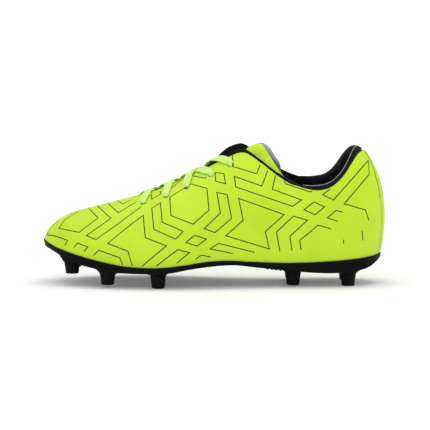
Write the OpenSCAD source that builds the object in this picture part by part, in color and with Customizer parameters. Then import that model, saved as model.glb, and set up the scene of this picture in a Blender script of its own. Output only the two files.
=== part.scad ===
// Soccer cleat for the left foot: a low laced upper on a moulded firm-ground
// plate. X runs from the toe (-) to the heel (+), the lateral side is -Y, the
// ground is z = 0 and the shoe stands on its studs.

/* [Upper] */
// Thickness of the outer synthetic panels
upper_t = 1.1; // [0.9:0.05:1.1]
// Thickness of the toe puff and the heel counter
stiff_t = 0.65; // [0.5:0.05:0.7]
// Thickness of the eyestay tapes
tape_t = 0.5; // [0.35:0.05:0.55]
// Thickness of the textile linings
lining_t = 0.65; // [0.5:0.05:0.7]
// Diameter of the punched lace holes
eyelet_d = 5.2; // [5.0:0.1:5.6]
// Height of the bound edge round the throat, as a share of the panel height
binding_h = 0.024; // [0.018:0.001:0.026]

/* [Tongue] */
// Thickness of the tongue's outer face
tongue_face_t = 1.0; // [0.8:0.1:1.1]
// Thickness of the tongue's foam along its middle
tongue_foam_t = 3.0; // [2.4:0.1:3.4]

/* [Lace] */
// Width of the flat lace
lace_w = 6.6; // [6.0:0.1:6.8]
// Thickness of the flat lace
lace_t = 1.1; // [0.9:0.05:1.2]

/* [Outsole] */
// Diameter of a stud at its tip
stud_tip_d = 10.9; // [10:0.1:11.3]
// Diameter of a stud where it meets its boss
stud_top_d = 13.4; // [12.4:0.1:13.6]
// Height of the flared boss that carries a stud
boss_h = 3.4; // [2.6:0.1:3.8]
// Thickness of the plate's rim at its foot
rim_t = 1.8; // [1.4:0.1:2.2]

/* [Sockliner] */
// Thickness of the removable foam sockliner
sock_t = 3.4; // [2.6:0.1:4]
// Thickness of the sockliner's textile cover
cover_t = 0.8; // [0.6:0.1:1]

/* [Hidden] */

// Layer depths, measured inward from the outer face of the upper
gap = 0.1;
in_mid = 1.35;
in_lin = 2.25;
in_foot = in_lin + lining_t;

// Shift that puts the middle of the shoe's footprint on the origin
shift = [0.63, 0.22, 0];

// The outer face of the upper. One row per station round the foot, toe first:
// foot of the panel x y z, top of the panel x y z, then how far the panel
// bulges near its foot (out, up, direction in plan) and near its top (out,
// down, direction in plan). Direction 0 points to the toe and 180 to the heel.
LATERAL = [
 [-144.8, 6, 34,   -115.5, 3.5, 60.5,   4, 9, 0,   22.5, 5.5, 0],
 [-138.6, -12, 31.5,   -110.5, 3.5, 62,   4, 10, 36,   21, 4, 55],
 [-122.4, -27, 26.5,   -100, 3, 64.6,   4, 12, 58,   21, 1.5, 84],
 [-99, -37.5, 21,    -87, 2.5, 68,     4,15, 76,  23, 1, 90],
 [-73, -44.5, 16.5,  -67, 2, 73,       4,19, 86,  25, 1, 90],
 [-46, -48,   15.5,  -46, 1, 80.5,     3,24, 90,  27, 1, 90],
 [-19, -46,   18.5,  -25, 0.5, 90,     3,29, 92,  27, 1.5, 90],
 [  6, -41,   21,     -4, 0, 101.5,    3,33, 92,  27, 2, 90],
 [ 27, -37,   20.5,   13, 0, 111,      4,34, 91,  26, 2.5, 90],
 [ 42, -35,   19.5,   27, 0, 117.5,    5,34, 90,  25, 4, 90],
 [ 55, -33.5, 19,     38.5, 0, 121,    6,33, 90,  25, 6, 90],
 [ 69, -32.5, 19,     58,-26, 93,      6,28, 90,   7, 22, 90],
 [ 88, -32.5, 19.5,   78,-29.5, 80.5,  7,22, 92,   5, 22, 92],
 [106, -30.5, 20.5,   98.5, -28.5, 81.5,   6, 22, 102,   6, 22, 102],
 [123.5, -24, 22,   111.5, -21.5, 98,   6, 24, 124,   13, 24, 124],
 [135.6, -12.5, 24,   119.8, -12, 112.2,   6, 25, 150,   20.5, 25, 150],
 [139.6, 0, 25,   127, 0, 112,   6, 25, 180,   22.5, 25, 180]];
MEDIAL = [
 [-138.2, 22, 31.5,   -110.5, 3.5, 62,   4, 10, 36,   21, 4, 55],
 [-121.4, 34, 26.5,   -100, 3, 64.6,   4, 12, 58,   21, 1.5, 84],
 [-99,    43, 21,    -87, 2.5, 68,     4,15, 76,  23, 1, 90],
 [-73,    47.5, 16.5,-67, 2, 73,       4,20, 88,  25, 1, 90],
 [-46,    46, 16,    -46, 1, 80.5,     3,25, 94,  27, 1, 90],
 [-19,    39.5,19.5, -25, 0.5, 90,     4,30, 96,  27, 1.5, 90],
 [  6,    33.5,22,    -4, 0, 101.5,    5,34, 94,  27, 2, 90],
 [ 27,    29, 22.5,   13, 0, 111,      7,35, 91,  26, 2.5, 90],
 [ 42,    27.5,22,    27, 0, 117.5,    7,35, 89,  25, 4, 90],
 [ 55,    27.5,21,    38.5, 0, 121,    7,33, 87,  24, 6, 90],
 [ 69,    28.5,20.5,  58, 26, 95,      7,28, 87,   7, 22, 90],
 [ 88,    30.5,20,    78, 29.5, 84,    7,22, 90,   5, 22, 90],
 [106,    30, 20.5,   97, 28.5, 85,    6,22, 102,  6, 22, 102],
 [123.5, 24, 22,   107.5, 22.5, 101.5,   6, 24, 124,   13, 24, 124],
 [135.6, 12.5, 24,   118, 12.5, 112.3,   6, 25, 150,   20.5, 25, 150]];

function mix(a, b, k) = a + (b - a)*k;
function unit(v) = v/norm(v);
function smooth(a, b, x) = let(k = max(0, min(1, (x - a)/(b - a)))) k*k*(3 - 2*k);
function plan(a, side) = [-cos(a), side*sin(a), 0];
function handles(r, side) = let(
    foot = [r[0], r[1], r[2]] + shift, top = [r[3], r[4], r[5]] + shift)
  [foot, foot + r[6]*plan(r[8], side) + [0, 0, r[7]],
   top + r[9]*plan(r[11], side) - [0, 0, r[10]], top];
UPPER = concat([for (r = LATERAL) handles(r, -1)],
               [for (i = [14:-1:0]) handles(MEDIAL[i], 1)]);
// The tongue follows the same face, but runs on over the instep where the
// collar opens, so its two last stations keep their tops on the middle line.
function tongue_row(k) = k == 11 || k == 21 ? [50, 0, 122, 7] : [62, 0, 120, 8];
TONGUE = [for (k = [0:31]) (k == 11 || k == 12 || k == 20 || k == 21) ?
  let(t = tongue_row(k), top = [t[0], t[1], t[2]] + shift)
  [UPPER[k][0], UPPER[k][1], top + [0, k < 16 ? -23 : 23, -t[3]], top] : UPPER[k]];

// Point of a face: s runs round the foot (0 toe, 16 heel, 32 toe again) and
// t runs up the panel (0 at the sole, 1 at the ridge or the topline).
function face(K, s, t) = let(q = s - 32*floor(s/32), i = floor(q), f = q - i, u = 1 - t,
    c = pow(1 - f, 3)/6*K[(i + 31)%32] + (3*f*f*f - 6*f*f + 4)/6*K[i]
      + (-3*f*f*f + 3*f*f + 3*f + 1)/6*K[(i + 1)%32] + f*f*f/6*K[(i + 2)%32])
  u*u*u*c[0] + 3*u*u*t*c[1] + 3*u*t*t*c[2] + t*t*t*c[3];
e = 0.002;
function slope(K, s, t) = unit(cross(face(K, s + e, t) - face(K, s - e, t),
                                     face(K, s, t + e) - face(K, s, t - e)));
// Outward normal; on the closed ridge both sides share one normal
function out(K, s, t) = t > 0.9995 && t < 1.0005 && abs(s - 16) > 6.9 ?
    unit(slope(K, s, 0.98) + slope(K, 32 - s, 0.98)) : slope(K, s, t);
function at(K, s, t, d) = face(K, s, t) - d*out(K, s, t);
// The same with w running over the foot: 0 lateral sole, 1 ridge, 2 medial sole
function over(K, s, w, d) = w <= 1 ? at(K, s, w, d) : at(K, 32 - s, 2 - w, d);

// Seam between the vamp and the quarters, and the quarters' upper edge
function seam(t) = lookup(t, [[0, 5.75], [0.095, 5.33], [0.185, 4.98], [0.33, 4.4],
  [0.465, 4.05], [0.7, 3.9], [1, 3.83]]);
function edge(s) = lookup(s < 16 ? s : 32 - s, [[3.8, 0.96], [4.1, 0.945], [4.4, 0.93], [5, 0.912],
  [6, 0.905], [6.8, 0.893], [7.8, 0.886], [8.4, 0.875], [8.7, 0.856], [8.95, 0.82],
  [9.2, 0.775], [9.6, 0.728], [10.08, 0.727], [10.5, 0.785], [10.83, 0.86],
  [11.15, 0.915], [11.45, 0.95], [11.85, 0.975], [12.5, 0.988], [13.35, 1], [16, 1]]);

// A closed shell between two grids of points, o outside and i inside, each a
// list of columns. wrap joins the last column to the first. ends(c) names the
// column whose last point column c shares, where the last row closes on itself.
module shell(o, i, wrap = false, ends = undef) {
  C = len(o); R = len(o[0]); n = wrap ? C : C - 1; z = ends != undef;
  id = function(c, r) let(k = c%C) (z && r == R - 1 ? ends(k) : k)*R + r;
  off = C*R;
  quad = function(a, b, c, d) [[a, b, c], [a, c, d]];
  tris = [for (c = [0:n - 1], r = [0:R - 2]) each concat(
      quad(id(c, r), id(c, r + 1), id(c + 1, r + 1), id(c + 1, r)),
      quad(off + id(c, r), off + id(c + 1, r), off + id(c + 1, r + 1), off + id(c, r + 1))),
    for (c = [0:n - 1]) each concat(
      quad(id(c, 0), id(c + 1, 0), off + id(c + 1, 0), off + id(c, 0)),
      z ? [] : quad(id(c + 1, R - 1), id(c, R - 1), off + id(c, R - 1), off + id(c + 1, R - 1))),
    if (!wrap) for (r = [0:R - 2]) each concat(
      quad(id(0, r + 1), id(0, r), off + id(0, r), off + id(0, r + 1)),
      quad(id(C - 1, r), id(C - 1, r + 1), off + id(C - 1, r + 1), off + id(C - 1, r)))];
  pts = concat([for (c = o) each c], [for (c = i) each c]);
  polyhedron(pts, [for (f = tris) if (f[0] != f[1] && f[1] != f[2] && f[2] != f[0]) f], 6);
}

// A layer of the upper: place(a, b) gives [s, t] for a and b from 0 to 1
module layer(na, nb, place, d0, d1, K = UPPER, ends = undef)
  shell([for (a = [0:na]) [for (b = [0:nb]) let(p = place(a/na, b/nb)) at(K, p[0], p[1], is_function(d0) ? d0(p) : d0)]],
        [for (a = [0:na]) [for (b = [0:nb]) let(p = place(a/na, b/nb)) at(K, p[0], p[1], is_function(d1) ? d1(p) : d1)]],
        false, ends);

// ---- vamp, quarters and their linings ----
module vamp_layer(na, nb, d0, d1)
  layer(2*na, nb, function(a, b) [(2*a - 1)*(seam(b) - 0.018), b], d0, d1,
        ends = function(c) c < na ? 2*na - c : c);
function half(side, s) = side < 0 ? s : 32 - s;
// a runs from the seam to the heel on the lateral side, the other way on the
// medial side, so that the outside stays outside
function quarter_at(side, end, a, b) = let(k = side < 0 ? a : 1 - a,
    s = mix(seam(b*0.96) + 0.018, end, k)) [half(side, s), b*edge(s)];
module quarter_layer(side, na, nb, end, d0, d1)
  layer(na, nb, function(a, b) quarter_at(side, end, a, b), d0, d1);

// lace holes: [station, share of the panel height] from the toe up
HOLES_L = [[4.38, 0.75], [5.25, 0.738], [6.03, 0.742], [7.0, 0.755], [7.93, 0.765]];
HOLES_M = [[4.25, 0.75], [5.0, 0.74], [5.8, 0.745], [6.75, 0.755], [7.7, 0.765]];
module holes(side) for (h = side < 0 ? HOLES_L : HOLES_M) {
  p = face(UPPER, half(side, h[0]), h[1]); v = out(UPPER, half(side, h[0]), h[1]);
  translate(p) rotate([0, acos(v[2]), atan2(v[1], v[0])])
    translate([0, 0, -6]) cylinder(d = eyelet_d, h = 9, $fn = 10);
}

module vamp() color([0.76, 0.92, 0.16]) vamp_layer(15, 12, 0, upper_t);
module lateral_quarter() color([0.76, 0.92, 0.16])
  difference() { quarter_layer(-1, 36, 11, 15.98, 0, upper_t); holes(-1); }
module medial_quarter() color([0.76, 0.92, 0.16])
  difference() { quarter_layer(1, 36, 11, 15.98, 0, upper_t); holes(1); }
module vamp_lining() color([0.08, 0.08, 0.09]) vamp_layer(11, 9, in_lin, in_foot);
module lateral_lining() color([0.08, 0.08, 0.09])
  difference() { quarter_layer(-1, 20, 8, 11.58, in_lin, in_foot); holes(-1); }
module medial_lining() color([0.08, 0.08, 0.09])
  difference() { quarter_layer(1, 20, 8, 11.58, in_lin, in_foot); holes(1); }

// ---- stiffeners ----
module toe_puff() color([0.85, 0.84, 0.8])
  layer(20, 6, function(a, b) [mix(-3.1, 3.1, a), mix(0.04, 0.72 - 0.5*pow(2*a - 1, 4), b)],
        in_mid, in_mid + stiff_t);
module heel_counter() color([0.85, 0.84, 0.8])
  layer(22, 5, function(a, b) [mix(12.6, 19.4, a), mix(0.03, 0.54 - 0.3*pow(2*a - 1, 4), b)],
        in_mid, in_mid + stiff_t);
module heel_backstay() color([0.7, 0.86, 0.12])
  layer(8, 11, function(a, b) let(t = mix(0.045, 0.995, b)) [16 + (2*a - 1)*lookup(t,
        [[0, 0.75], [0.6, 0.64], [0.79, 0.55], [0.9, 0.3], [1, 0.16]]), t],
        -0.9, -gap);
module eyestay(side) difference() {
  layer(14, 3, function(a, b) let(s = mix(4.12, 8.75, side < 0 ? a : 1 - a))
    [half(side, s), edge(s) - 0.004 - 0.185*(1 - b)], in_mid, in_mid + tape_t);
  holes(side);
}
module lateral_eyestay_tape() color([0.9, 0.9, 0.88]) eyestay(-1);
module medial_eyestay_tape() color([0.9, 0.9, 0.88]) eyestay(1);

// ---- collar ----
// Cross-sections of the padded collar as [t, depth], bottom to top and over
LIN_O = [[0, 2.25], [0.28, 2.25], [0.5, 2.3], [0.62, 3.0], [0.74, 4.8], [0.86, 6.0],
  [0.95, 6.2], [1.012, 5.6], [1.042, 4.2], [1.05, 2.9], [1.041, 1.7], [1.015, 0.95]];
LIN_I = [[0, 2.9], [0.28, 2.9], [0.5, 3.0], [0.6, 3.7], [0.73, 5.6], [0.86, 6.8],
  [0.955, 7.0], [1.024, 6.2], [1.058, 4.6], [1.067, 2.9], [1.054, 1.0], [1.015, 0.15]];
FOAM_O = [[0.62, 1.35], [0.74, 1.35], [0.86, 1.35], [0.95, 1.35], [1.004, 1.5], [1.03, 2.0]];
FOAM_I = [[0.62, 2.65], [0.74, 4.45], [0.86, 5.65], [0.95, 5.85], [1.004, 5.25], [1.032, 4.0]];
// The padding fades out where the collar meets the throat
function pad(s) = smooth(11.5, 12.6, 16 - abs(s - 16));
module collar_sweep(a0, a1, O, I, thin)
  shell([for (a = [a0:a1]) let(s = mix(11.62, 20.38, a/34)) [for (p = O) collar_point(s, p, thin)]],
        [for (a = [a0:a1]) let(s = mix(11.62, 20.38, a/34)) [for (p = I) collar_point(s, p, thin)]]);
// Above t = 0.5 the section follows the collar's edge; depths shrink to a
// share `thin` of their swell where the padding fades
// and grow round the heel, where the padding is thickest
function collar_point(s, p, thin) = let(k = p[0] <= 0.5 ? p[0] : mix(p[0], p[0] + edge(s) - 1, smooth(0.5, 0.9, p[0])),
    swell = max(0, p[1] - thin)) at(UPPER, s, k, p[1] + swell*(0.75*smooth(3.4, 2, abs(s - 16)) - 0.62*(1 - pad(s))));
module heel_lining() color([0.05, 0.05, 0.055]) collar_sweep(0, 34, LIN_O, LIN_I, 2.9);
module collar_foam() color([0.3, 0.3, 0.32]) collar_sweep(1, 33, FOAM_O, FOAM_I, 2.5);
// Bound edge of the throat: a bead that sits on the panel's edge
module binding(side, s0, s1) {
  sec_o = [[0.002, -0.25], [0.75, 0.1], [1, 1.4], [0.75, 2.75], [0.002, 3.15]];
  sec_i = [[0.002, 0.2], [0.002, 0.8], [0.002, 1.4], [0.002, 2.0], [0.002, 2.6]];
  pt = function(s, p) at(UPPER, half(side, s), edge(s) + (p[0] > 0.1 ? p[0]*binding_h : 0.007), p[1]);
  st = function(a) mix(s0, s1, side < 0 ? a : 1 - a);
  shell([for (a = [0:34]) [for (p = sec_o) pt(st(a/34), p)]],
        [for (a = [0:34]) [for (p = sec_i) pt(st(a/34), p)]]);
}
module lateral_binding() color([0.05, 0.05, 0.055]) binding(-1, 6.5, 11.56);
module medial_binding() color([0.05, 0.05, 0.055]) binding(1, 7.0, 11.56);

// ---- tongue ----
// Depth of the tongue's face below the upper: low under the laces, rising to
// the outside where the free end leaves the throat
function sink(s, w) = 3.2 + 3.1*smooth(3.6, 4.4, s)
  - 4.7*smooth(8.3, 9.4, s)*smooth(0.76, 0.93, min(w, 2 - w));
function rim(w, lo) = smooth(lo, lo + 0.14, min(w, 2 - w));
function wing(s) = s < 9 ? 0.46 : lookup(s, [[9, 0.765], [9.6, 0.725], [10.1, 0.69], [10.9, 0.615]]);
// layer k of the tongue: 0 face, 1 foam, 2 lining
function tongue_depth(s, w, k, deep) = let(m = 0.35 + 0.65*rim(w, wing(s)), f = tongue_face_t, g = tongue_foam_t*m)
  sink(s, w) + (k == 0 ? (deep ? f : 0) : k == 1 ? f + gap + (deep ? g : 0) : f + g + 2*gap + (deep ? 0.7 : 0));
module tongue_layer(k, na, nb, tip) {
  place = function(a, b) tip ?
      let(s1 = 10 + 0.85*pow(abs(2*b - 1), 1.5), s = mix(9.04, s1, a), lo = wing(s)) [s, mix(lo, 2 - lo, b)] :
      [mix(3.62, 8.98, a), mix(0.46, 1.54, b)];
  grid = function(deep) [for (a = [0:na]) [for (b = [0:nb]) let(p = place(a/na, b/nb))
      over(TONGUE, p[0], p[1], tongue_depth(p[0], p[1], k, deep))]];
  shell(grid(false), grid(true));
}
module tongue_face() color([0.72, 0.88, 0.14]) tongue_layer(0, 14, 12, false);
module tongue_foam() color([0.35, 0.35, 0.36]) tongue_layer(1, 14, 12, false);
module tongue_lining() color([0.72, 0.72, 0.72]) tongue_layer(2, 14, 12, false);
module tongue_face_tip() color([0.72, 0.88, 0.14]) tongue_layer(0, 6, 12, true);
module tongue_foam_tip() color([0.35, 0.35, 0.36]) tongue_layer(1, 6, 12, true);
module tongue_lining_tip() color([0.72, 0.72, 0.72]) tongue_layer(2, 6, 12, true);

// ---- outsole ----
// Height of the plate's underside along the shoe
PLATE = [[-150, 34], [-141, 31], [-131, 27], [-126, 24], [-111, 18.4], [-102, 16.6], [-82, 13], [-60, 12.5],
  [-37, 13], [-22, 16], [-12, 17.5], [7, 19.4], [20, 19.2], [27, 18], [37, 16.7], [47, 15.6], [57, 14.4],
  [65, 14], [75, 12.6], [85, 12], [100, 11.5], [111, 12.2], [121, 13.2], [126, 14.4], [131, 17], [136, 21.8], [146, 28]];
function under(x) = (lookup(x - 5, PLATE) + 2*lookup(x, PLATE) + lookup(x + 5, PLATE))/4;
// Middle line of the sole, kept short of the toe and the heel
function spine(s) = let(k = max(1.5, min(14.5, s < 16 ? s : 32 - s))) (face(UPPER, k, 0) + face(UPPER, 32 - k, 0))/2;
function spine_end(C) = function(c) let(m = c <= C/2 ? c : C - c) max(ceil(1.5*C/32), min(floor(14.5*C/32), m));
// point a share r of the way from the edge to the middle line
function floor_at(s, r, edge_d) = let(p = at(UPPER, s, 0.01, edge_d), q = spine(s)) mix(p, [q[0], q[1], q[2]], r);
function floor_z(s, r) = mix(face(UPPER, s, 0)[2], spine(s)[2], r);
// How far the rim reaches up the panel, as a share of its height, and how far
// it stands proud; low at the waist, nearly flush at the toe and the heel
function rim_top(s) = lookup(s < 16 ? s : 32 - s, [[0, 0.13], [0.6, 0.11], [1.2, 0.078], [2, 0.06], [3, 0.044],
  [3.8, 0.03], [5, 0.026], [5.8, 0.028], [6.5, 0.034], [7.2, 0.028], [8, 0.018], [10.5, 0.018], [11.3, 0.024],
  [12.3, 0.031], [13.5, 0.029], [14.5, 0.022], [16, 0.018]]);
function rim_out(s) = let(f = s < 16 ? s : 32 - s) rim_t*mix(0.5, 1, smooth(0.5, 2.5, f)*(1 - smooth(13.8, 15.4, f)));
module plate_blank() {
  C = 72;
  top = [for (c = [0:C - 1]) let(s = c*32/C) [
    at(UPPER, s, rim_top(s), -0.5*rim_out(s)), at(UPPER, s, rim_top(s) - 0.002, -0.15), at(UPPER, s, 0, -0.15) - [0, 0, 0.15],
    for (r = [0.2, 0.5, 1]) let(p = floor_at(s, r, 0)) [p[0], p[1], floor_z(s, r) - 0.15]]];
  bottom = [for (c = [0:C - 1]) let(s = c*32/C, b = at(UPPER, s, 0, -rim_out(s))) [
    at(UPPER, s, 0.45*rim_top(s), -rim_out(s)), [b[0], b[1], min(b[2] - 1, under(b[0]) + 1.2)],
    for (q = [[0.06, 0], [0.3, -0.1], [0.7, -1.2], [1, -1.5]])
      let(p = floor_at(s, q[0], -rim_out(s))) [p[0], p[1], under(p[0]) + q[1]*waist(p[0])]]];
  shell(top, bottom, true, spine_end(C));
}
// The plate's shank swells downward through the waist
function waist(x) = smooth(-40, -15, x)*(1 - smooth(35, 60, x));

FORE = [[-119, -19.5], [-89, -32.5], [-47, -37.5], [-119, 24], [-89, 35], [-47, 36]];
HEELS = [[65, -22.5], [111, -20], [65, 20], [111, 20]];
TIPS = [[-119, 10.2], [-89, 2.4], [-47, 0], [65, 1], [111, 0]];
function boss_foot(x) = under(x) - boss_h + 1;
module boss(p) translate([p[0], p[1], boss_foot(p[0])] + shift)
  rotate_extrude($fn = 40) polygon([[0, 0], [stud_top_d/2, 0], [stud_top_d/2 + 0.5, 0.9],
    [stud_top_d/2 + 1.6, boss_h - 0.8], [stud_top_d/2 + 2.4, boss_h], [0, boss_h]]);
module stud(p) {
  z = lookup(p[0], TIPS); h = boss_foot(p[0]) - z;
  translate([p[0], p[1], z] + shift) rotate_extrude($fn = 40)
    polygon([[0, 0], [stud_tip_d/2 - 0.8, 0], [stud_tip_d/2 - 0.25, 0.25], [stud_tip_d/2, 0.9],
      [stud_top_d/2, h], [0, h]]);
}
// Short grip ribs across the front of the heel
module grip_ribs() for (y = [-28.5, 23.5], k = [0:4]) let(x = 43 + 3.6*k)
  translate([x, y, under(x) - 1] + shift) rotate([0, 0, y < 0 ? 8 : -8]) translate([-0.9, -4.5, 0]) cube([1.8, 9, 2.1]);
module outsole_plate() color([0.07, 0.07, 0.075]) union() {
  plate_blank();
  for (p = concat(FORE, HEELS)) boss(p);
  grip_ribs();
}
module studs_forefoot() color([0.07, 0.07, 0.075]) for (p = FORE) stud(p);
module studs_heel() color([0.07, 0.07, 0.075]) for (p = HEELS) stud(p);

// ---- insole board and sockliner ----
module sole_sheet(C, inset, z0, z1, rows) {
  sheet = function(z) [for (c = [0:C - 1]) let(s = c*32/C) [for (r = rows)
    let(p = floor_at(s, r, inset)) [p[0], p[1], floor_z(s, r) + z(s, r)]]];
  shell(sheet(z1), sheet(z0), true, spine_end(C));
}
module insole_board() color([0.8, 0.76, 0.68])
  sole_sheet(48, in_foot + 0.4, function(s, r) 0.1, function(s, r) 1.9, [0, 0.3, 1]);
// The sockliner turns up round the heel
function cup(s, r) = 3.2*(1 - smooth(0, 0.45, r))*smooth(10, 13, 16 - abs(s - 16))
  + 0.8*(1 - smooth(0, 0.3, r));
module sockliner_foam() color([0.25, 0.25, 0.27])
  sole_sheet(48, in_foot + 1.8, function(s, r) 2.2, function(s, r) 2.2 + sock_t + cup(s, r), [0, 0.12, 0.28, 0.45, 1]);
module sockliner_cover() color([0.1, 0.1, 0.11])
  sole_sheet(48, in_foot + 1.8, function(s, r) 2.25 + sock_t + cup(s, r),
    function(s, r) 2.25 + sock_t + cup(s, r) + cover_t, [0, 0.12, 0.28, 0.45, 1]);

// ---- lace ----
// The lace's route as [s, w, depth, width]: out of one hole, across the
// throat and either over the far panel or under its edge, then up the next
function hole_in(side, k) = side < 0 ? HOLES_L[k] : [HOLES_M[k][0], 2 - HOLES_M[k][1]];
function pass(side, k, up) = let(h = hole_in(side, k), v = side < 0 ? 0.03 : -0.03,
    r = [[h[0], h[1] + v, 3.75, 5], [h[0], h[1], 1.3, 4.2], [h[0], h[1] + v, -0.95, 5]])
  up ? r : [r[2], r[1], r[0]];
function strand(list, s0, s1) = [for (p = list) [mix(s0, s1, p[0]), p[1], p[2], p[3]]];
OVER_UNDER = [[0.12, 0.85, -1.05, 6.6], [0.25, 0.93, -1.25, 6.4], [0.42, 0.97, -1.2, 5.8], [0.62, 1.0, -0.9, 5.6],
  [0.8, 1.035, 0.7, 5.4], [0.92, 1.085, 3.95, 5.4], [0.97, 1.17, 3.9, 5.8]];
UNDER_NEAR = [[0.1, 1.15, -1.05, 6.6], [0.18, 1.07, -1.15, 6.4], [0.25, 1.035, -0.4, 5.6], [0.42, 1.0, 1.5, 5.4],
  [0.6, 0.97, 2.7, 5.4], [0.8, 0.92, 3.95, 5.4], [0.93, 0.84, 3.9, 5.8]];
OVER_LOW = [[0.1, 1.15, -1.05, 6.6], [0.2, 1.07, -1.15, 6.4], [0.28, 1.035, -0.6, 5.6], [0.36, 1.0, 0.4, 5.4],
  [0.45, 0.97, 0.5, 5.4], [0.57, 0.94, -0.4, 5.6], [0.7, 0.9, -1.25, 6.4], [0.86, 0.83, -1.05, 6.6]];
OVER_HIGH = [[0.12, 1.15, -1.05, 6.6], [0.26, 1.07, -1.2, 6.6], [0.4, 1.0, -1.1, 6.6], [0.56, 0.93, -1.25, 6.6],
  [0.72, 0.88, -1.2, 6.6], [0.88, 0.82, -1.05, 6.4]];
function flip(l) = [for (i = [len(l) - 1:-1:0]) l[i]];
function run(s0, s1, w, d, n) = [for (k = [0:n]) [mix(s0, s1, k/n), w, d, 6.2]];
function turn(s, dir, w, d) = [[s + 0.16*dir, w - 0.02, d, 6.2], [s + 0.22*dir, w - 0.055, d, 6.2], [s + 0.16*dir, w - 0.09, d, 6.2]];
A_IN = 3.85; B_IN = 5.15;
ROUTE = concat(
  // first end, folded flat beside the tongue
  flip(concat([[7.92, 0.725, A_IN, 5.4], [7.75, 0.675, A_IN, 6.2]], run(7.4, 4.9, 0.635, A_IN, 3), turn(4.9, -1, 0.635, A_IN),
    run(4.9, 8.2, 0.525, A_IN, 4), turn(8.2, 1, 0.525, A_IN), run(8.2, 5.75, 0.415, A_IN, 3))),
  [for (p = pass(-1, 4, true)) if (p[2] < 3) p],
  flip(strand(OVER_HIGH, HOLES_M[3][0], HOLES_L[4][0])), pass(1, 3, false),
  flip(strand(OVER_UNDER, HOLES_L[2][0], HOLES_M[3][0])), pass(-1, 2, false),
  flip(strand(UNDER_NEAR, HOLES_M[1][0], HOLES_L[2][0])), pass(1, 1, false),
  flip(strand(OVER_UNDER, HOLES_L[0][0], HOLES_M[1][0])), pass(-1, 0, false),
  [[4.35, 0.85, 3.95, 6], [4.31, 1.0, 4.0, 6], [4.28, 1.15, 3.95, 6]], pass(1, 0, true),
  strand(UNDER_NEAR, HOLES_M[0][0], HOLES_L[1][0]), pass(-1, 1, true),
  strand(OVER_UNDER, HOLES_L[1][0], HOLES_M[2][0]), pass(1, 2, true),
  strand(OVER_LOW, HOLES_M[2][0], HOLES_L[3][0]),
  [for (p = pass(-1, 3, false)) if (p[2] < 3) p],
  // second end, folded over the first
  [[6.98, 0.735, 3.8, 4.6], [6.93, 0.7, 5.05, 5.2]], run(6.75, 4.9, 0.635, B_IN, 2), turn(4.9, -1, 0.635, B_IN),
  run(4.9, 8.2, 0.525, B_IN, 4), turn(8.2, 1, 0.525, B_IN), run(8.2, 6.6, 0.415, B_IN, 2));
// Sweep of a flat band: its width lies in the face, square to the route
function sides(P, N, n) = [for (i = 0, v = [1, 0, 0]; i < n;
    v = i + 1 < n ? side_at(P, N, i + 1, n, v) : v, i = i + 1) i == 0 ? side_at(P, N, 0, n, v) : v];
function dir_at(P, i, n) = unit(P[min(i + 1, n - 1)] - P[max(i - 1, 0)]);
function side_at(P, N, i, n, v) = let(t = dir_at(P, i, n), c = cross(N[i], t), m = norm(c))
  m > 0.45 ? (c*v < 0 ? -c/m : c/m) : unit(v - (v*t)*t);
module band(R, thick) {
  n = len(R);
  P = [for (r = R) over(UPPER, r[0], r[1], r[2])];
  N = [for (r = R) r[1] <= 1 ? out(UPPER, r[0], r[1]) : out(UPPER, 32 - r[0], 2 - r[1])];
  V = sides(P, N, n);
  sec = [[-0.5, 0], [-0.42, 0.5], [0.42, 0.5], [0.5, 0], [0.42, -0.5], [-0.42, -0.5]];
  rings = [for (i = [0:n - 1]) let(t = dir_at(P, i, n), u = cross(t, V[i]), w = R[i][3], h = thick*(w < 5.1 ? 1.25 : 1))
    [for (q = sec) P[i] + V[i]*q[0]*w + u*q[1]*h]];
  polyhedron([for (r = rings) each r], concat(
    [for (i = [0:n - 2], k = [0:5]) each let(k2 = (k + 1)%6) [[i*6 + k, i*6 + 6 + k2, i*6 + 6 + k], [i*6 + k, i*6 + k2, i*6 + 6 + k2]]],
    [for (k = [1:4]) [0, k + 1, k]], [for (k = [1:4]) [(n - 1)*6, (n - 1)*6 + k, (n - 1)*6 + k + 1]]), 10);
}
module lace() color([0.75, 1, 0.42]) band(ROUTE, lace_t);
module aglets() color([0.85, 0.95, 0.8]) {
  band([for (s = [5.74, 5.4, 5.1, 4.85]) [s, 0.415, A_IN, 3.4]], 1.0);
  band([for (s = [6.59, 6.3, 6.05, 5.8]) [s, 0.415, B_IN + 0.2, 3.4]], 0.9);
}

outsole_plate();
studs_forefoot();
studs_heel();
insole_board();
sockliner_foam();
sockliner_cover();
toe_puff();
heel_counter();
vamp();
lateral_quarter();
medial_quarter();
heel_backstay();
lateral_eyestay_tape();
medial_eyestay_tape();
vamp_lining();
lateral_lining();
medial_lining();
heel_lining();
collar_foam();
lateral_binding();
medial_binding();
tongue_face();
tongue_foam();
tongue_lining();
tongue_face_tip();
tongue_foam_tip();
tongue_lining_tip();
lace();
aglets();
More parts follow.
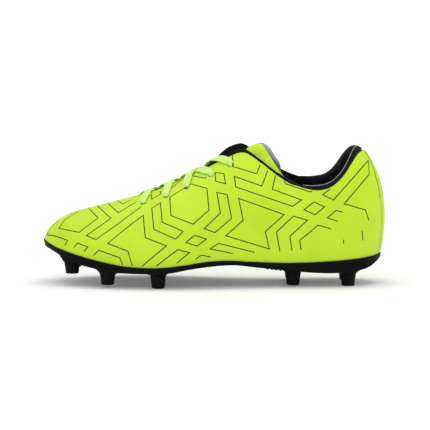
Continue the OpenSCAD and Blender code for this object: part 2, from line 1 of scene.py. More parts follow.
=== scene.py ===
import bpy, bmesh, math
import numpy as np
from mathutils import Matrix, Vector


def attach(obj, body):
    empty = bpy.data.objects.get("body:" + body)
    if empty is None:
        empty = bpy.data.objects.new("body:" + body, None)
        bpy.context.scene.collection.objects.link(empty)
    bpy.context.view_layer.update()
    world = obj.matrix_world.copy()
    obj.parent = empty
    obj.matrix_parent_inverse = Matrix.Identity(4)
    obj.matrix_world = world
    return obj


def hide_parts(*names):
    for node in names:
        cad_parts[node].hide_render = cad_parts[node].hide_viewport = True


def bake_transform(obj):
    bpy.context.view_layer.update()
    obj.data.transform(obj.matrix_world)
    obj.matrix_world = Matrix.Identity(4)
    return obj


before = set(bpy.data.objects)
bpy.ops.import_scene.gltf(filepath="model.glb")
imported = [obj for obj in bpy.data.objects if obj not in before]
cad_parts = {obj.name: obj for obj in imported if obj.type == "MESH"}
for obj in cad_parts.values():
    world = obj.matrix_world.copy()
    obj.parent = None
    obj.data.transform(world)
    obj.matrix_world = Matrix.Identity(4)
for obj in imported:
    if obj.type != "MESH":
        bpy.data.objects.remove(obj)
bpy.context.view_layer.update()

# ------------------------------------------------------------------ design
# The same faces, seams and routes as the CAD model, in millimetres.
SHIFT = np.array([0.63, 0.22, 0.0])
UPPER_T, LINING_T, EYELET_D, RIM_T = 1.1, 0.65, 5.2, 1.8
SOCK_T, COVER_T, BOSS_H, STUD_TIP_D, STUD_TOP_D = 3.4, 0.8, 3.4, 10.9, 13.4
IN_MID, IN_LIN = 1.35, 2.25
IN_FOOT = IN_LIN + LINING_T
LATERAL = [
    [-144.8, 6, 34, -115.5, 3.5, 60.5, 4, 9, 0, 22.5, 5.5, 0],
    [-138.6, -12, 31.5, -110.5, 3.5, 62, 4, 10, 36, 21, 4, 55],
    [-122.4, -27, 26.5, -100, 3, 64.6, 4, 12, 58, 21, 1.5, 84],
    [-99, -37.5, 21, -87, 2.5, 68, 4, 15, 76, 23, 1, 90],
    [-73, -44.5, 16.5, -67, 2, 73, 4, 19, 86, 25, 1, 90],
    [-46, -48, 15.5, -46, 1, 80.5, 3, 24, 90, 27, 1, 90],
    [-19, -46, 18.5, -25, 0.5, 90, 3, 29, 92, 27, 1.5, 90],
    [6, -41, 21, -4, 0, 101.5, 3, 33, 92, 27, 2, 90],
    [27, -37, 20.5, 13, 0, 111, 4, 34, 91, 26, 2.5, 90],
    [42, -35, 19.5, 27, 0, 117.5, 5, 34, 90, 25, 4, 90],
    [55, -33.5, 19, 38.5, 0, 121, 6, 33, 90, 25, 6, 90],
    [69, -32.5, 19, 58, -26, 93, 6, 28, 90, 7, 22, 90],
    [88, -32.5, 19.5, 78, -29.5, 80.5, 7, 22, 92, 5, 22, 92],
    [106, -30.5, 20.5, 98.5, -28.5, 81.5, 6, 22, 102, 6, 22, 102],
    [123.5, -24, 22, 111.5, -21.5, 98, 6, 24, 124, 13, 24, 124],
    [135.6, -12.5, 24, 119.8, -12, 112.2, 6, 25, 150, 20.5, 25, 150],
    [139.6, 0, 25, 127, 0, 112, 6, 25, 180, 22.5, 25, 180]]
MEDIAL = [
    [-138.2, 22, 31.5, -110.5, 3.5, 62, 4, 10, 36, 21, 4, 55],
    [-121.4, 34, 26.5, -100, 3, 64.6, 4, 12, 58, 21, 1.5, 84],
    [-99, 43, 21, -87, 2.5, 68, 4, 15, 76, 23, 1, 90],
    [-73, 47.5, 16.5, -67, 2, 73, 4, 20, 88, 25, 1, 90],
    [-46, 46, 16, -46, 1, 80.5, 3, 25, 94, 27, 1, 90],
    [-19, 39.5, 19.5, -25, 0.5, 90, 4, 30, 96, 27, 1.5, 90],
    [6, 33.5, 22, -4, 0, 101.5, 5, 34, 94, 27, 2, 90],
    [27, 29, 22.5, 13, 0, 111, 7, 35, 91, 26, 2.5, 90],
    [42, 27.5, 22, 27, 0, 117.5, 7, 35, 89, 25, 4, 90],
    [55, 27.5, 21, 38.5, 0, 121, 7, 33, 87, 24, 6, 90],
    [69, 28.5, 20.5, 58, 26, 95, 7, 28, 87, 7, 22, 90],
    [88, 30.5, 20, 78, 29.5, 84, 7, 22, 90, 5, 22, 90],
    [106, 30, 20.5, 97, 28.5, 85, 6, 22, 102, 6, 22, 102],
    [123.5, 24, 22, 107.5, 22.5, 101.5, 6, 24, 124, 13, 24, 124],
    [135.6, 12.5, 24, 118, 12.5, 112.3, 6, 25, 150, 20.5, 25, 150]]


def plan(a, side):
    a = math.radians(a)
    return np.array([-math.cos(a), side * math.sin(a), 0.0])


def handles(r, side):
    foot, top, up = np.array(r[0:3], float) + SHIFT, np.array(r[3:6], float) + SHIFT, np.array([0, 0, 1.0])
    return [foot, foot + r[6] * plan(r[8], side) + r[7] * up, top + r[9] * plan(r[11], side) - r[10] * up, top]


UPPER = np.array([handles(r, -1) for r in LATERAL] + [handles(MEDIAL[i], 1) for i in range(14, -1, -1)])
TONGUE = UPPER.copy()
for k in (11, 12, 20, 21):
    x, y, z, dn = (50, 0, 122, 7) if k in (11, 21) else (62, 0, 120, 8)
    TONGUE[k, 3] = np.array([x, y, z], float) + SHIFT
    TONGUE[k, 2] = TONGUE[k, 3] + np.array([0, -23 if k < 16 else 23, -dn])


def face(K, s, t):
    s, t = np.broadcast_arrays(np.asarray(s, float), np.asarray(t, float))
    q = s % 32
    i = np.floor(q).astype(int)
    f = (q - i)[..., None, None]
    c = ((1 - f) ** 3 / 6 * K[(i + 31) % 32] + (3 * f ** 3 - 6 * f ** 2 + 4) / 6 * K[i % 32]
         + (-3 * f ** 3 + 3 * f ** 2 + 3 * f + 1) / 6 * K[(i + 1) % 32] + f ** 3 / 6 * K[(i + 2) % 32])
    t = t[..., None]
    u = 1 - t
    return u ** 3 * c[..., 0, :] + 3 * u * u * t * c[..., 1, :] + 3 * u * t * t * c[..., 2, :] + t ** 3 * c[..., 3, :]


def unit(v):
    return v / np.maximum(np.linalg.norm(v, axis=-1, keepdims=True), 1e-12)


def slope(K, s, t, e=0.002):
    return unit(np.cross(face(K, s + e, t) - face(K, s - e, t), face(K, s, t + e) - face(K, s, t - e)))


def out(K, s, t):
    s, t = np.broadcast_arrays(np.asarray(s, float), np.asarray(t, float))
    n = slope(K, s, t)
    q = s % 32
    zip_ = (t > 0.9995) & (t < 1.0005) & (np.abs(q - 16) > 6.9)
    if zip_.any():
        both = unit(slope(K, s, np.full_like(t, 0.98)) + slope(K, 32 - s, np.full_like(t, 0.98)))
        n = np.where(zip_[..., None], both, n)
    return n


def at(K, s, t, d):
    return face(K, s, t) - (np.asarray(d, float) - (lift(s, t) if K is UPPER else 0))[..., None] * out(K, s, t)


def lift(s, t):
    """The inner side's lace flap stands a little higher than the outer side's"""
    s, t = np.broadcast_arrays(np.asarray(s, float) % 32, np.asarray(t, float))
    f = 32 - s
    k = lambda a, b, x: (lambda q: q * q * (3 - 2 * q))(np.clip((x - a) / (b - a), 0, 1))
    return 2.6 * (s > 16) * k(7.0, 8.0, f) * (1 - k(9.2, 10.0, f)) * k(0.77, 0.89, t) * (1 - k(0.95, 0.99, t))


def over(K, s, w, d):
    s, w, d = np.broadcast_arrays(np.asarray(s, float), np.asarray(w, float), np.asarray(d, float))
    near = w <= 1
    return at(K, np.where(near, s, 32 - s), np.where(near, w, 2 - w), d)


def over_out(K, s, w):
    s, w = np.broadcast_arrays(np.asarray(s, float), np.asarray(w, float))
    near = w <= 1
    return out(K, np.where(near, s, 32 - s), np.where(near, w, 2 - w))


def smooth(a, b, x):
    k = np.clip((np.asarray(x, float) - a) / (b - a), 0, 1)
    return k * k * (3 - 2 * k)


def look(x, table):
    t = np.array(table, float)
    return np.interp(x, t[:, 0], t[:, 1])


def soft_look(x, table, r):
    w = np.array([1, 2, 3, 4, 3, 2, 1], float)
    return sum(k * look(np.asarray(x, float) + o * r / 3, table) for k, o in zip(w / w.sum(), range(-3, 4)))


SEAM = [[0, 5.75], [0.095, 5.33], [0.185, 4.98], [0.33, 4.4], [0.465, 4.05], [0.7, 3.9], [1, 3.83]]
EDGE = [[3.8, .96], [4.1, .945], [4.4, .93], [5, .912], [6, .905], [6.8, .893], [7.8, .886], [8.4, .875], [8.7, .856],
        [8.95, .82], [9.2, .775], [9.6, .728], [10.08, .727], [10.5, .785], [10.83, .86], [11.15, .915], [11.45, .95],
        [11.85, .975], [12.5, .988], [13.35, 1], [16, 1]]


def seam(t):
    return soft_look(t, SEAM, 0.06)


def fold(s):
    return np.where(np.asarray(s) < 16, s, 32 - np.asarray(s))


def edge(s):
    return soft_look(fold(s), EDGE, 0.13)


# Soft unevenness of the skin: long waves and a few flex creases
CREASES = [((1.3, .80), (2.2, .60), 0.42, 0.8), ((2.3, .52), (3.05, .30), 0.26, 0.8), ((2.88, .32), (3.18, .26), 0.3, 0.8), ((3.97, .48), (4.28, .385), 0.42, 0.8),
           ((4.28, .385), (4.6, .285), 0.44, 0.8), ((4.6, .285), (4.95, .195), 0.36, 0.8),
           ((5.6, .60), (6.4, .74), 0.10, 3.0), ((9.7, .69), (10.1, .50), 0.16, 4.0), ((12.3, .93), (13.0, .80), 0.12, 4.0),
           ((3.3, .93), (3.0, .78), 0.12, 1.6), ((4.35, .62), (4.1, .42), 0.10, 2.6)]
CREASE_XYZ = [(face(UPPER, a[0], a[1]), face(UPPER, b[0], b[1]), h, w) for a, b, h, w in CREASES] + \
             [(face(UPPER, 32 - a[0], a[1]), face(UPPER, 32 - b[0], b[1]), h, w) for a, b, h, w in CREASES]


def relief(P):
    x, y, z = P[..., 0], P[..., 1], P[..., 2]
    d = 0.07 * np.sin(x / 9.1 + z / 13.0 + 0.6) + 0.05 * np.sin(x / 5.3 - z / 6.1 + y / 11.0) + 0.04 * np.sin(z / 4.2 + x / 17.0 + 2.0)
    for a, b, h, w in CREASE_XYZ:
        ab = b - a
        k = np.clip(((P - a) @ ab) / (ab @ ab), 0, 1)
        r = np.linalg.norm(P - a - k[..., None] * ab, axis=-1)
        d = d + h * np.exp(-(r / w) ** 2) * (0.55 + 0.45 * np.sin(math.pi * np.clip(k, 0.02, 0.98)))
    return d


def skin(s, t, d):
    """A point on the outer face, its unevenness included"""
    P = face(UPPER, s, t)
    return P - (np.asarray(d, float) + relief(P) - lift(s, t))[..., None] * out(UPPER, s, t)


# ------------------------------------------------------------------ meshes
def build(name, V, F, mats, ids=None, uv=None, angle=40):
    me = bpy.data.meshes.new(name)
    V = np.asarray(V, float)
    me.from_pydata((V * 0.001).tolist(), [], [tuple(f) for f in F])
    for m in mats:
        me.materials.append(m)
    if ids is not None:
        me.polygons.foreach_set("material_index", np.asarray(ids, np.int32))
    if uv is not None:
        idx = np.zeros(len(me.loops), np.int32)
        me.loops.foreach_get("vertex_index", idx)
        lay = me.uv_layers.new(name="mm")
        lay.data.foreach_set("uv", np.asarray(uv, np.float32)[idx].ravel())
    me.validate(verbose=False)
    me.polygons.foreach_set("use_smooth", np.ones(len(me.polygons), bool))
    if angle:
        me.set_sharp_from_angle(angle=math.radians(angle))
    o = bpy.data.objects.new(name, me)
    bpy.context.scene.collection.objects.link(o)
    return o


def weld(o, dist=2e-6, angle=40):
    bm = bmesh.new()
    bm.from_mesh(o.data)
    bmesh.ops.remove_doubles(bm, verts=bm.verts, dist=dist)
    bmesh.ops.dissolve_degenerate(bm, dist=1e-7, edges=bm.edges)
    bmesh.ops.recalc_face_normals(bm, faces=bm.faces)
    bm.to_mesh(o.data)
    bm.free()
    if angle:
        o.data.set_sharp_from_angle(angle=math.radians(angle))
    return o


def grid_uv(P):
    u = np.concatenate([np.zeros((1, P.shape[1])), np.cumsum(np.linalg.norm(np.diff(P, axis=0), axis=2), 0)], 0)
    v = np.concatenate([np.zeros((P.shape[0], 1)), np.cumsum(np.linalg.norm(np.diff(P, axis=1), axis=2), 1)], 1)
    return np.stack([u, v], -1)


def shell(name, O, I, mats, wrap=False, zipped=False, wall_id=0, in_id=0, uv=None, angle=40, ids_fn=None, merge=False):
    """A closed shell between two grids of points (columns, rows, 3)"""
    C, R = O.shape[:2]
    n = C if wrap else C - 1
    c = np.arange(n)[:, None]
    r = np.arange(R - 1)[None]
    c2 = (c + 1) % C
    q = lambda a, b, c_, d: np.stack([x.ravel() for x in np.broadcast_arrays(a, b, c_, d)], 1)
    off = C * R
    top = q(c * R + r, c * R + r + 1, c2 * R + r + 1, c2 * R + r)
    bot = q(off + c * R + r, off + c2 * R + r, off + c2 * R + r + 1, off + c * R + r + 1)
    cc, cn = np.arange(n), (np.arange(n) + 1) % C
    walls = [q(cc * R, cn * R, off + cn * R, off + cc * R)]
    if not zipped:
        e = R - 1
        walls.append(q(cn * R + e, cc * R + e, off + cc * R + e, off + cn * R + e))
    if not wrap:
        rr = np.arange(R - 1)
        walls.append(q(rr + 1, rr, off + rr, off + rr + 1))
        b = (C - 1) * R
        walls.append(q(b + rr, b + rr + 1, off + b + rr + 1, off + b + rr))
    W = np.concatenate(walls)
    F = np.concatenate([top, bot, W])
    ids = np.concatenate([np.zeros(len(top), int), np.full(len(bot), in_id), np.full(len(W), wall_id)])
    if ids_fn:
        ids = ids_fn(ids, C, R, n)
    V = np.concatenate([O.reshape(-1, 3), I.reshape(-1, 3)])
    g = grid_uv(O).reshape(-1, 2) if uv is None else uv.reshape(-1, 2)
    o = build(name, V, F[:, ::-1] if False else F, mats, ids, np.concatenate([g, g]), angle)
    return weld(o, angle=angle) if (zipped or merge) else o


def steps(n, L, r=0.5):
    """Parameters from 0 to 1 with two extra rings beside each end of a strip L mm long"""
    e = np.array([0.3 * r / L, r / L])
    return np.concatenate([[0], e, np.linspace(0, 1, n + 1)[1:-1], 1 - e[::-1], [1]])


def drop(p, L, r=0.5, h=0.22, lo=True, hi=True):
    x = np.minimum(p if lo else 9.0, (1 - p) if hi else 9.0) * L
    k = np.clip(1 - x / r, 0, 1)
    return h * (1 - np.sqrt(1 - k * k))


# --------------------------------------------------------------- materials
def lin(*c):
    return tuple(((v / 255) / 12.92 if v / 255 <= 0.04045 else ((v / 255 + 0.055) / 1.055) ** 2.4) for v in c) + (1.0,)


class Mat:
    def __init__(self, name, color, rough=0.5, **kw):
        self.m = bpy.data.materials.new(name)
        self.m.use_nodes = True
        self.nt = self.m.node_tree
        self.b = self.nt.nodes["Principled BSDF"]
        self.b.inputs["Base Color"].default_value = color
        self.b.inputs["Roughness"].default_value = rough
        for k, v in kw.items():
            self.b.inputs[k.replace("_", " ")].default_value = v
        self.height = None

    def node(self, kind, **kw):
        n = self.nt.nodes.new("ShaderNode" + kind)
        for k, v in kw.items():
            setattr(n, k, v)
        return n

    def put(self, socket, v):
        if isinstance(v, bpy.types.NodeSocket):
            self.nt.links.new(v, socket)
        else:
            socket.default_value = v

    def where(self):
        if not hasattr(self, "_obj"):
            self._obj = self.node("TexCoord").outputs["Object"]
        return self._obj

    def uv(self):
        if not hasattr(self, "_uv"):
            n = self.node("UVMap")
            n.uv_map = "mm"
            s = self.node("SeparateXYZ")
            self.put(s.inputs[0], n.outputs[0])
            self._uv = (s.outputs[0], s.outputs[1], n.outputs[0])
        return self._uv

    def xyz(self):
        s = self.node("SeparateXYZ")
        self.put(s.inputs[0], self.where())
        return s.outputs[0], s.outputs[1], s.outputs[2]

    def math(self, op, a, b=0.0, c=None, clamp=False):
        n = self.node("Math", operation=op, use_clamp=clamp)
        self.put(n.inputs[0], a)
        self.put(n.inputs[1], b)
        if c is not None:
            self.put(n.inputs[2], c)
        return n.outputs[0]

    def noise(self, scale, detail=3.0, rough=0.55, vec=None, dist=0.0):
        n = self.node("TexNoise")
        self.put(n.inputs["Vector"], vec or self.where())
        n.inputs["Scale"].default_value, n.inputs["Detail"].default_value = scale, detail
        n.inputs["Roughness"].default_value, n.inputs["Distortion"].default_value = rough, dist
        return n.outputs["Fac"]

    def cells(self, scale, feature="F1", out="Distance", vec=None, smoothness=None, rand=1.0):
        n = self.node("TexVoronoi", feature=feature)
        self.put(n.inputs["Vector"], vec or self.where())
        n.inputs["Scale"].default_value = scale
        n.inputs["Randomness"].default_value = rand
        return n.outputs[out]

    def span(self, v, a, b, lo, hi, kind="LINEAR"):
        n = self.node("MapRange", interpolation_type=kind)
        for i, x in enumerate((v, a, b, lo, hi)):
            self.put(n.inputs[i], x)
        return n.outputs[0]

    def mix(self, k, a, b, blend="MIX"):
        n = self.node("Mix", data_type="RGBA", blend_type=blend)
        self.put(n.inputs[0], k)
        self.put(n.inputs[6], a)
        self.put(n.inputs[7], b)
        return n.outputs[2]

    def bump(self, height, distance, strength=1.0):
        n = self.node("Bump")
        n.inputs["Strength"].default_value = strength
        n.inputs["Distance"].default_value = distance
        self.put(n.inputs["Height"], height)
        if self.height is not None:
            self.put(n.inputs["Normal"], self.height)
        self.height = n.outputs[0]
        self.put(self.b.inputs["Normal"], self.height)
        return self

    def color(self, c):
        self.put(self.b.inputs["Base Color"], c)
        return self

    def rough(self, r):
        self.put(self.b.inputs["Roughness"], r)
        return self


def m_skin(name, c, dark, light):
    """Grained synthetic leather: fine pebble, pores, long soft colour drift; painted shade in the pebble valleys and
    pores, and painted shade a little darker near the sole
    """
    m = Mat(name, c, 0.5, Specular_IOR_Level=0.34, Coat_Weight=0.04, Coat_Roughness=0.3, Sheen_Weight=0.02)
    drift = m.noise(26, 3, 0.5)
    fine = m.noise(900, 2, 0.6)
    peb = m.cells(1500)
    pore = m.cells(620, "F1")
    col = m.mix(m.span(drift, 0.32, 0.68, 0.0, 1.0), dark, light)
    # pebble valleys and pores are painted darker where the bump sinks: painted shade
    col = m.mix(m.span(peb, 0.15, 0.75, 0.0, 0.10), col, lin(120, 150, 10))
    col = m.mix(m.span(pore, 0.0, 0.10, 0.16, 0.0), col, lin(110, 140, 8))
    x, y, z = m.xyz()
    # colour darkens from 34 mm height down to 18 mm: painted shade near the sole
    col = m.mix(m.span(z, 0.018, 0.034, 0.07, 0.0, "SMOOTHSTEP"), col, lin(120, 140, 20))
    m.color(col)
    m.rough(m.math("ADD", m.span(drift, 0.3, 0.7, 0.40, 0.50), m.span(fine, 0.3, 0.7, -0.05, 0.07)))
    m.bump(m.noise(130, 3, 0.6), 0.00022, 0.35)
    m.bump(m.math("ADD", m.span(peb, 0.0, 0.8, 1.0, 0.0), m.math("MULTIPLY", fine, 0.5)), 0.00006, 0.7)
    m.bump(m.span(pore, 0.0, 0.14, 0.0, 1.0), 0.00005, 0.5)
    return m.m


def m_weave(name, a, b, pitch_u, pitch_v, depth, rough=0.8, sheen=0.25, diag=False, fuzz=0.5, tint=None):
    """Woven or braided yarn from coordinates measured in millimetres along the piece"""
    m = Mat(name, a, rough, Specular_IOR_Level=0.12, Sheen_Weight=sheen, Sheen_Roughness=0.5)
    u, v, vec = m.uv()
    wob = m.math("MULTIPLY", m.math("SUBTRACT", m.noise(700, 2), 0.5), 0.35)
    if diag:
        p = m.math("ADD", m.math("DIVIDE", u, pitch_u), m.math("DIVIDE", v, pitch_v))
        q = m.math("SUBTRACT", m.math("DIVIDE", u, pitch_u), m.math("DIVIDE", v, pitch_v))
    else:
        p, q = m.math("DIVIDE", u, pitch_u), m.math("DIVIDE", v, pitch_v)
    p, q = m.math("ADD", p, wob), m.math("ADD", q, wob)
    sp = m.math("SINE", m.math("MULTIPLY", p, math.pi))
    sq = m.math("SINE", m.math("MULTIPLY", q, math.pi))
    # over-under: two rows of yarn crowns, each hiding the other in turn
    h = m.math("ABSOLUTE", m.math("MULTIPLY", sp, sq))
    h = m.math("POWER", h, 0.45)
    fib = m.noise(2600, 2, 0.7)
    hh = m.math("ADD", h, m.math("MULTIPLY", fib, fuzz * 0.35))
    drift = m.noise(60, 3)
    # colour runs from b in the grooves to a on the yarn crowns: painted shade in the grooves between yarns
    k = m.math("MULTIPLY", m.span(hh, 0.25, 1.05, 0.0, 1.0), m.span(drift, 0.3, 0.7, 0.86, 1.0))
    m.color(m.mix(k, b, a))
    m.rough(m.span(hh, 0.2, 1.1, min(1.0, rough + 0.12), rough - 0.06))
    m.bump(m.noise(260, 2), 0.00016, 0.4)
    m.bump(hh, depth, 0.9)
    return m.m


def m_foam(name, a, b, scale=900):
    m = Mat(name, a, 0.85, Specular_IOR_Level=0.2)
    c = m.cells(scale)
    # cell pits painted darker than the walls between them: painted shade
    m.color(m.mix(m.span(c, 0.1, 0.6, 1.0, 0.0), a, b))
    m.rough(m.span(m.noise(200), 0.3, 0.7, 0.8, 0.95))
    m.bump(c, 0.0004, 0.8).bump(m.noise(1800, 2), 0.0001, 0.6)
    return m.m


def m_tpu(name, base, lift, gloss=0.36, wear_z=None):
    """Moulded polyurethane: satin, faint flow marks, fine etched grain, scuffs where it meets the ground"""
    m = Mat(name, base, gloss, Specular_IOR_Level=0.07)
    grain, flow = m.cells(1300), m.noise(34, 4, 0.6)
    x, y, z = m.xyz()
    col = m.mix(m.span(flow, 0.35, 0.7, 0.0, 0.6), base, lift)
    scr = m.node("TexNoise")
    mp = m.node("Mapping")
    mp.inputs["Scale"].default_value = (2.6, 1.0, 0.35)
    m.put(mp.inputs["Vector"], m.where())
    m.put(scr.inputs["Vector"], mp.outputs[0])
    scr.inputs["Scale"].default_value, scr.inputs["Detail"].default_value = 420, 5
    marks = m.span(scr.outputs["Fac"], 0.62, 0.74, 0.0, 1.0)
    if wear_z is not None:
        low = m.span(z, wear_z[0], wear_z[1], 1.0, 0.0, "SMOOTHSTEP")
        col = m.mix(m.math("MULTIPLY", low, m.span(m.noise(380, 4), 0.42, 0.66, 0.0, 0.45)), col, lin(38, 37, 36))
        m.rough(m.math("ADD", m.span(flow, 0.3, 0.7, gloss - 0.05, gloss + 0.1), m.math("MULTIPLY", low, 0.3)))
    else:
        m.rough(m.math("ADD", m.span(flow, 0.3, 0.7, gloss - 0.05, gloss + 0.09), m.math("MULTIPLY", marks, 0.14)))
    m.color(m.mix(m.math("MULTIPLY", marks, 0.2), col, lin(28, 28, 28)))
    m.bump(m.noise(90, 2), 0.0002, 0.25)
    m.bump(grain, 0.00006, 0.55)
    return m.m


def m_ink(name):
    m = Mat(name, lin(38, 52, 12), 0.55, Specular_IOR_Level=0.3)
    m.color(m.mix(m.span(m.noise(420, 3), 0.3, 0.7, 0.0, 1.0), lin(30, 42, 10), lin(66, 84, 16)))
    m.rough(m.span(m.noise(900), 0.3, 0.7, 0.45, 0.65))
    m.bump(m.noise(1500, 2), 0.00005, 0.6)
    return m.m


def m_board(name):
    m = Mat(name, lin(196, 186, 160), 0.85)
    m.color(m.mix(m.noise(500, 4, 0.7), lin(170, 160, 134), lin(214, 204, 180)))
    m.rough(m.span(m.noise(150), 0.3, 0.7, 0.75, 0.95))
    m.bump(m.noise(1400, 4, 0.8), 0.0002, 0.7)
    return m.m


def m_clear(name):
    m = Mat(name, lin(214, 240, 190), 0.22, Transmission_Weight=0.35, IOR=1.46)
    m.color(m.mix(m.noise(400, 3), lin(196, 232, 150), lin(232, 246, 214)))
    m.rough(m.span(m.noise(240), 0.3, 0.7, 0.16, 0.32))
    m.bump(m.noise(500, 2), 0.0001, 0.3)
    return m.m


def m_mesh(name, a, b, cell=1.5, depth=0.0003):
    """Knitted spacer mesh: rows of small cells, their hollows painted dark as shade"""
    m = Mat(name, a, 0.85, Specular_IOR_Level=0.1, Sheen_Weight=0.05, Sheen_Roughness=0.5)
    u, v, vec = m.uv()
    c = m.cells(1.0 / cell, "F1", vec=vec, rand=0.12)
    h = m.span(c, 0.12, 0.42, 0.0, 1.0, "SMOOTHSTEP")
    yarn = m.noise(2400, 2, 0.7)
    # cell hollows darker than the yarn between them: painted shade
    m.color(m.mix(m.math("ADD", m.math("MULTIPLY", h, 0.8), m.math("MULTIPLY", yarn, 0.2)), b, a))
    m.rough(m.span(m.noise(120), 0.3, 0.7, 0.75, 0.95))
    m.bump(m.math("ADD", h, m.math("MULTIPLY", yarn, 0.25)), depth, 0.9)
    return m.m


LIME = m_skin("lime_synthetic", lin(195, 229, 29), lin(188, 224, 24), lin(199, 232, 34))
LIME2 = m_skin("lime_backstay", lin(192, 226, 28), lin(185, 220, 23), lin(195, 228, 33))
LIME_T = m_skin("lime_tongue", lin(198, 233, 36), lin(190, 227, 30), lin(200, 235, 40))
INK = m_ink("line_print")
LACE = m_weave("lace_braid", lin(226, 255, 152), lin(205, 255, 118), 0.95, 0.95, 0.00028, 0.75, 0.15, diag=True)
BLACK_TAPE = m_weave("binding_tape", lin(19, 19, 21), lin(5, 5, 6), 0.7, 0.7, 0.0002, 0.72, 0.04, diag=True)
BLACK_LINE = m_mesh("collar_textile", lin(21, 21, 23), lin(4, 4, 5), 1.3, 0.0003)
DARK_LINE = m_mesh("lining_textile", lin(44, 44, 48), lin(12, 12, 13), 1.6, 0.0003)
GREY_LINE = m_mesh("tongue_textile", lin(196, 197, 192), lin(140, 141, 138), 1.2, 0.00022)
EDGE_GREY = m_weave("tongue_edge_tape", lin(96, 98, 92), lin(52, 53, 50), 0.6, 0.6, 0.00018, 0.8, 0.2)
THREAD_GREY = m_weave("thread_grey", lin(176, 177, 182), lin(112, 113, 118), 0.6, 0.9, 0.00008, 0.6, 0.1, diag=True)
THREAD_LIME = m_weave("thread_lime", lin(186, 226, 40), lin(120, 150, 16), 0.35, 0.5, 0.00008, 0.6, 0.3, diag=True)
THREAD_BLACK = m_weave("thread_black", lin(58, 58, 62), lin(20, 20, 22), 0.35, 0.5, 0.00008, 0.6, 0.3, diag=True)
FOAM = m_foam("open_foam", lin(92, 92, 96), lin(40, 40, 42))
SOCK_FOAM = m_foam("sock_foam", lin(70, 71, 76), lin(34, 34, 37), 1100)
SOCK_TOP = m_mesh("sock_textile", lin(48, 49, 54), lin(14, 14, 16), 1.4, 0.00026)
TPU = m_tpu("tpu_black", lin(5, 5, 6), lin(11, 11, 12), 0.42)
TPU_STUD = m_tpu("tpu_stud", lin(6, 6, 7), lin(12, 12, 13), 0.4, wear_z=(0.0005, 0.004))
BOARD = m_board("insole_fibre")
STIFF = m_board("stiffener_sheet")
TAPE = m_weave("eyestay_tape", lin(222, 222, 214), lin(150, 150, 142), 0.8, 0.8, 0.00015, 0.8, 0.1)
CLEAR = m_clear("aglet_clear")

pieces = []


def keep(o, body="shoe", nodes=()):
    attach(o, body)
    if nodes:
        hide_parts(*nodes)
    pieces.append(o)
    return o


def half(side, s):
    return s if side < 0 else 32 - s


# ------------------------------------------------------------ upper panels
def vamp_grid(na, nb, end, d, rounded):
    a = steps(2 * na, 260.0) if rounded else np.linspace(0, 1, 2 * na + 1)
    b = np.linspace(0, 1, nb + 1)
    A, B = np.meshgrid(a, b, indexing="ij")
    S, T = (2 * A - 1) * (seam(B) - end), B
    return A, S, T


def vamp_piece():
    A, S, T = vamp_grid(92, 60, 0.0015, 0, True)
    dr = drop(A, 260.0, 0.5, 0.2) * (0.25 + 0.75 * smooth(0.6, 0.45, T))
    dr[:, -1] = 0
    O = skin(S, T, dr)
    I = at(UPPER, S, T, np.full(S.shape, UPPER_T))
    m = S.shape[0] // 2
    O[m + 1:, -1] = O[:m, -1][::-1]
    I[m + 1:, -1] = I[:m, -1][::-1]
    return shell("vamp_panel", O, I, [LIME, DARK_LINE], zipped=True, in_id=1, angle=50)


def quarter_grid(side, na, nb, end, gap_s, rounded=True, lo=0.0, hi=1.0):
    a = steps(na, 190.0) if rounded else np.linspace(0, 1, na + 1)
    b = steps(nb, 85.0) if rounded else np.linspace(0, 1, nb + 1)
    A, B = np.meshgrid(a, b, indexing="ij")
    k = A if side < 0 else 1 - A
    s = seam(B * 0.96) + gap_s
    s = s + (end - s) * k
    return A, B, half(side, s), B * edge(s)


def quarter_piece(side, name):
    A, B, S, T = quarter_grid(side, 150, 62, 15.985, 0.0015)
    d = np.maximum(drop(A, 190.0, 0.5, 0.2) * (0.25 + 0.75 * smooth(0.6, 0.45, B * 0.9)), drop(B, 85.0, 0.7, 0.3, lo=False))
    O = skin(S, T, d)
    I = at(UPPER, S, T, np.full(S.shape, UPPER_T))
    return shell(name, O, I, [LIME, DARK_LINE], in_id=1, angle=50)


HOLES_L = [[4.38, .75], [5.25, .738], [6.03, .742], [7.0, .755], [7.93, .765]]
HOLES_M = [[4.25, .75], [5.0, .74], [5.8, .745], [6.75, .755], [7.7, .765]]


def hole_frames(side):
    for h in (HOLES_L if side < 0 else HOLES_M):
        s, t = half(side, h[0]), h[1]
        yield face(UPPER, s, t), out(UPPER, s, t)


def punch(o, side, d=EYELET_D, lo=-6, hi=3):
    """Cuts the round lace holes"""
    V, F = [], []
    for p, n in hole_frames(side):
        a = unit(np.cross(n, [0, 0.3, 1.0]))
        b = np.cross(n, a)
        base = len(V)
        ang = np.arange(28) * 2 * math.pi / 28
        for z in (lo, hi):
            V += [p + (np.cos(x) * a + np.sin(x) * b) * d / 2 + n * z for x in ang]
        m = 28
        F += [(base + i, base + (i + 1) % m, base + m + (i + 1) % m, base + m + i) for i in range(m)]
        F += [tuple(base + i for i in reversed(range(m))), tuple(base + m + i for i in range(m))]
    cut = build("cutter", np.array(V), F, [o.data.materials[0]], angle=None)
    weld(cut, angle=None)
    mod = o.modifiers.new("holes", "BOOLEAN")
    mod.operation, mod.object, mod.solver = "DIFFERENCE", cut, "EXACT"
    bake(o)
    bpy.data.objects.remove(cut, do_unlink=True)
    o.data.set_sharp_from_angle(angle=math.radians(50))
    return o


def bake(o):
    dg = bpy.context.evaluated_depsgraph_get()
    me = bpy.data.meshes.new_from_object(o.evaluated_get(dg), preserve_all_data_layers=True, depsgraph=dg)
    o.modifiers.clear()
    old = o.data
    o.data = me
    bpy.data.meshes.remove(old)
    return o


vamp = keep(vamp_piece(), nodes=["vamp"])
lat = keep(punch(quarter_piece(-1, "lateral_quarter_panel"), -1), nodes=["lateral_quarter"])
med = keep(punch(quarter_piece(1, "medial_quarter_panel"), 1), nodes=["medial_quarter"])


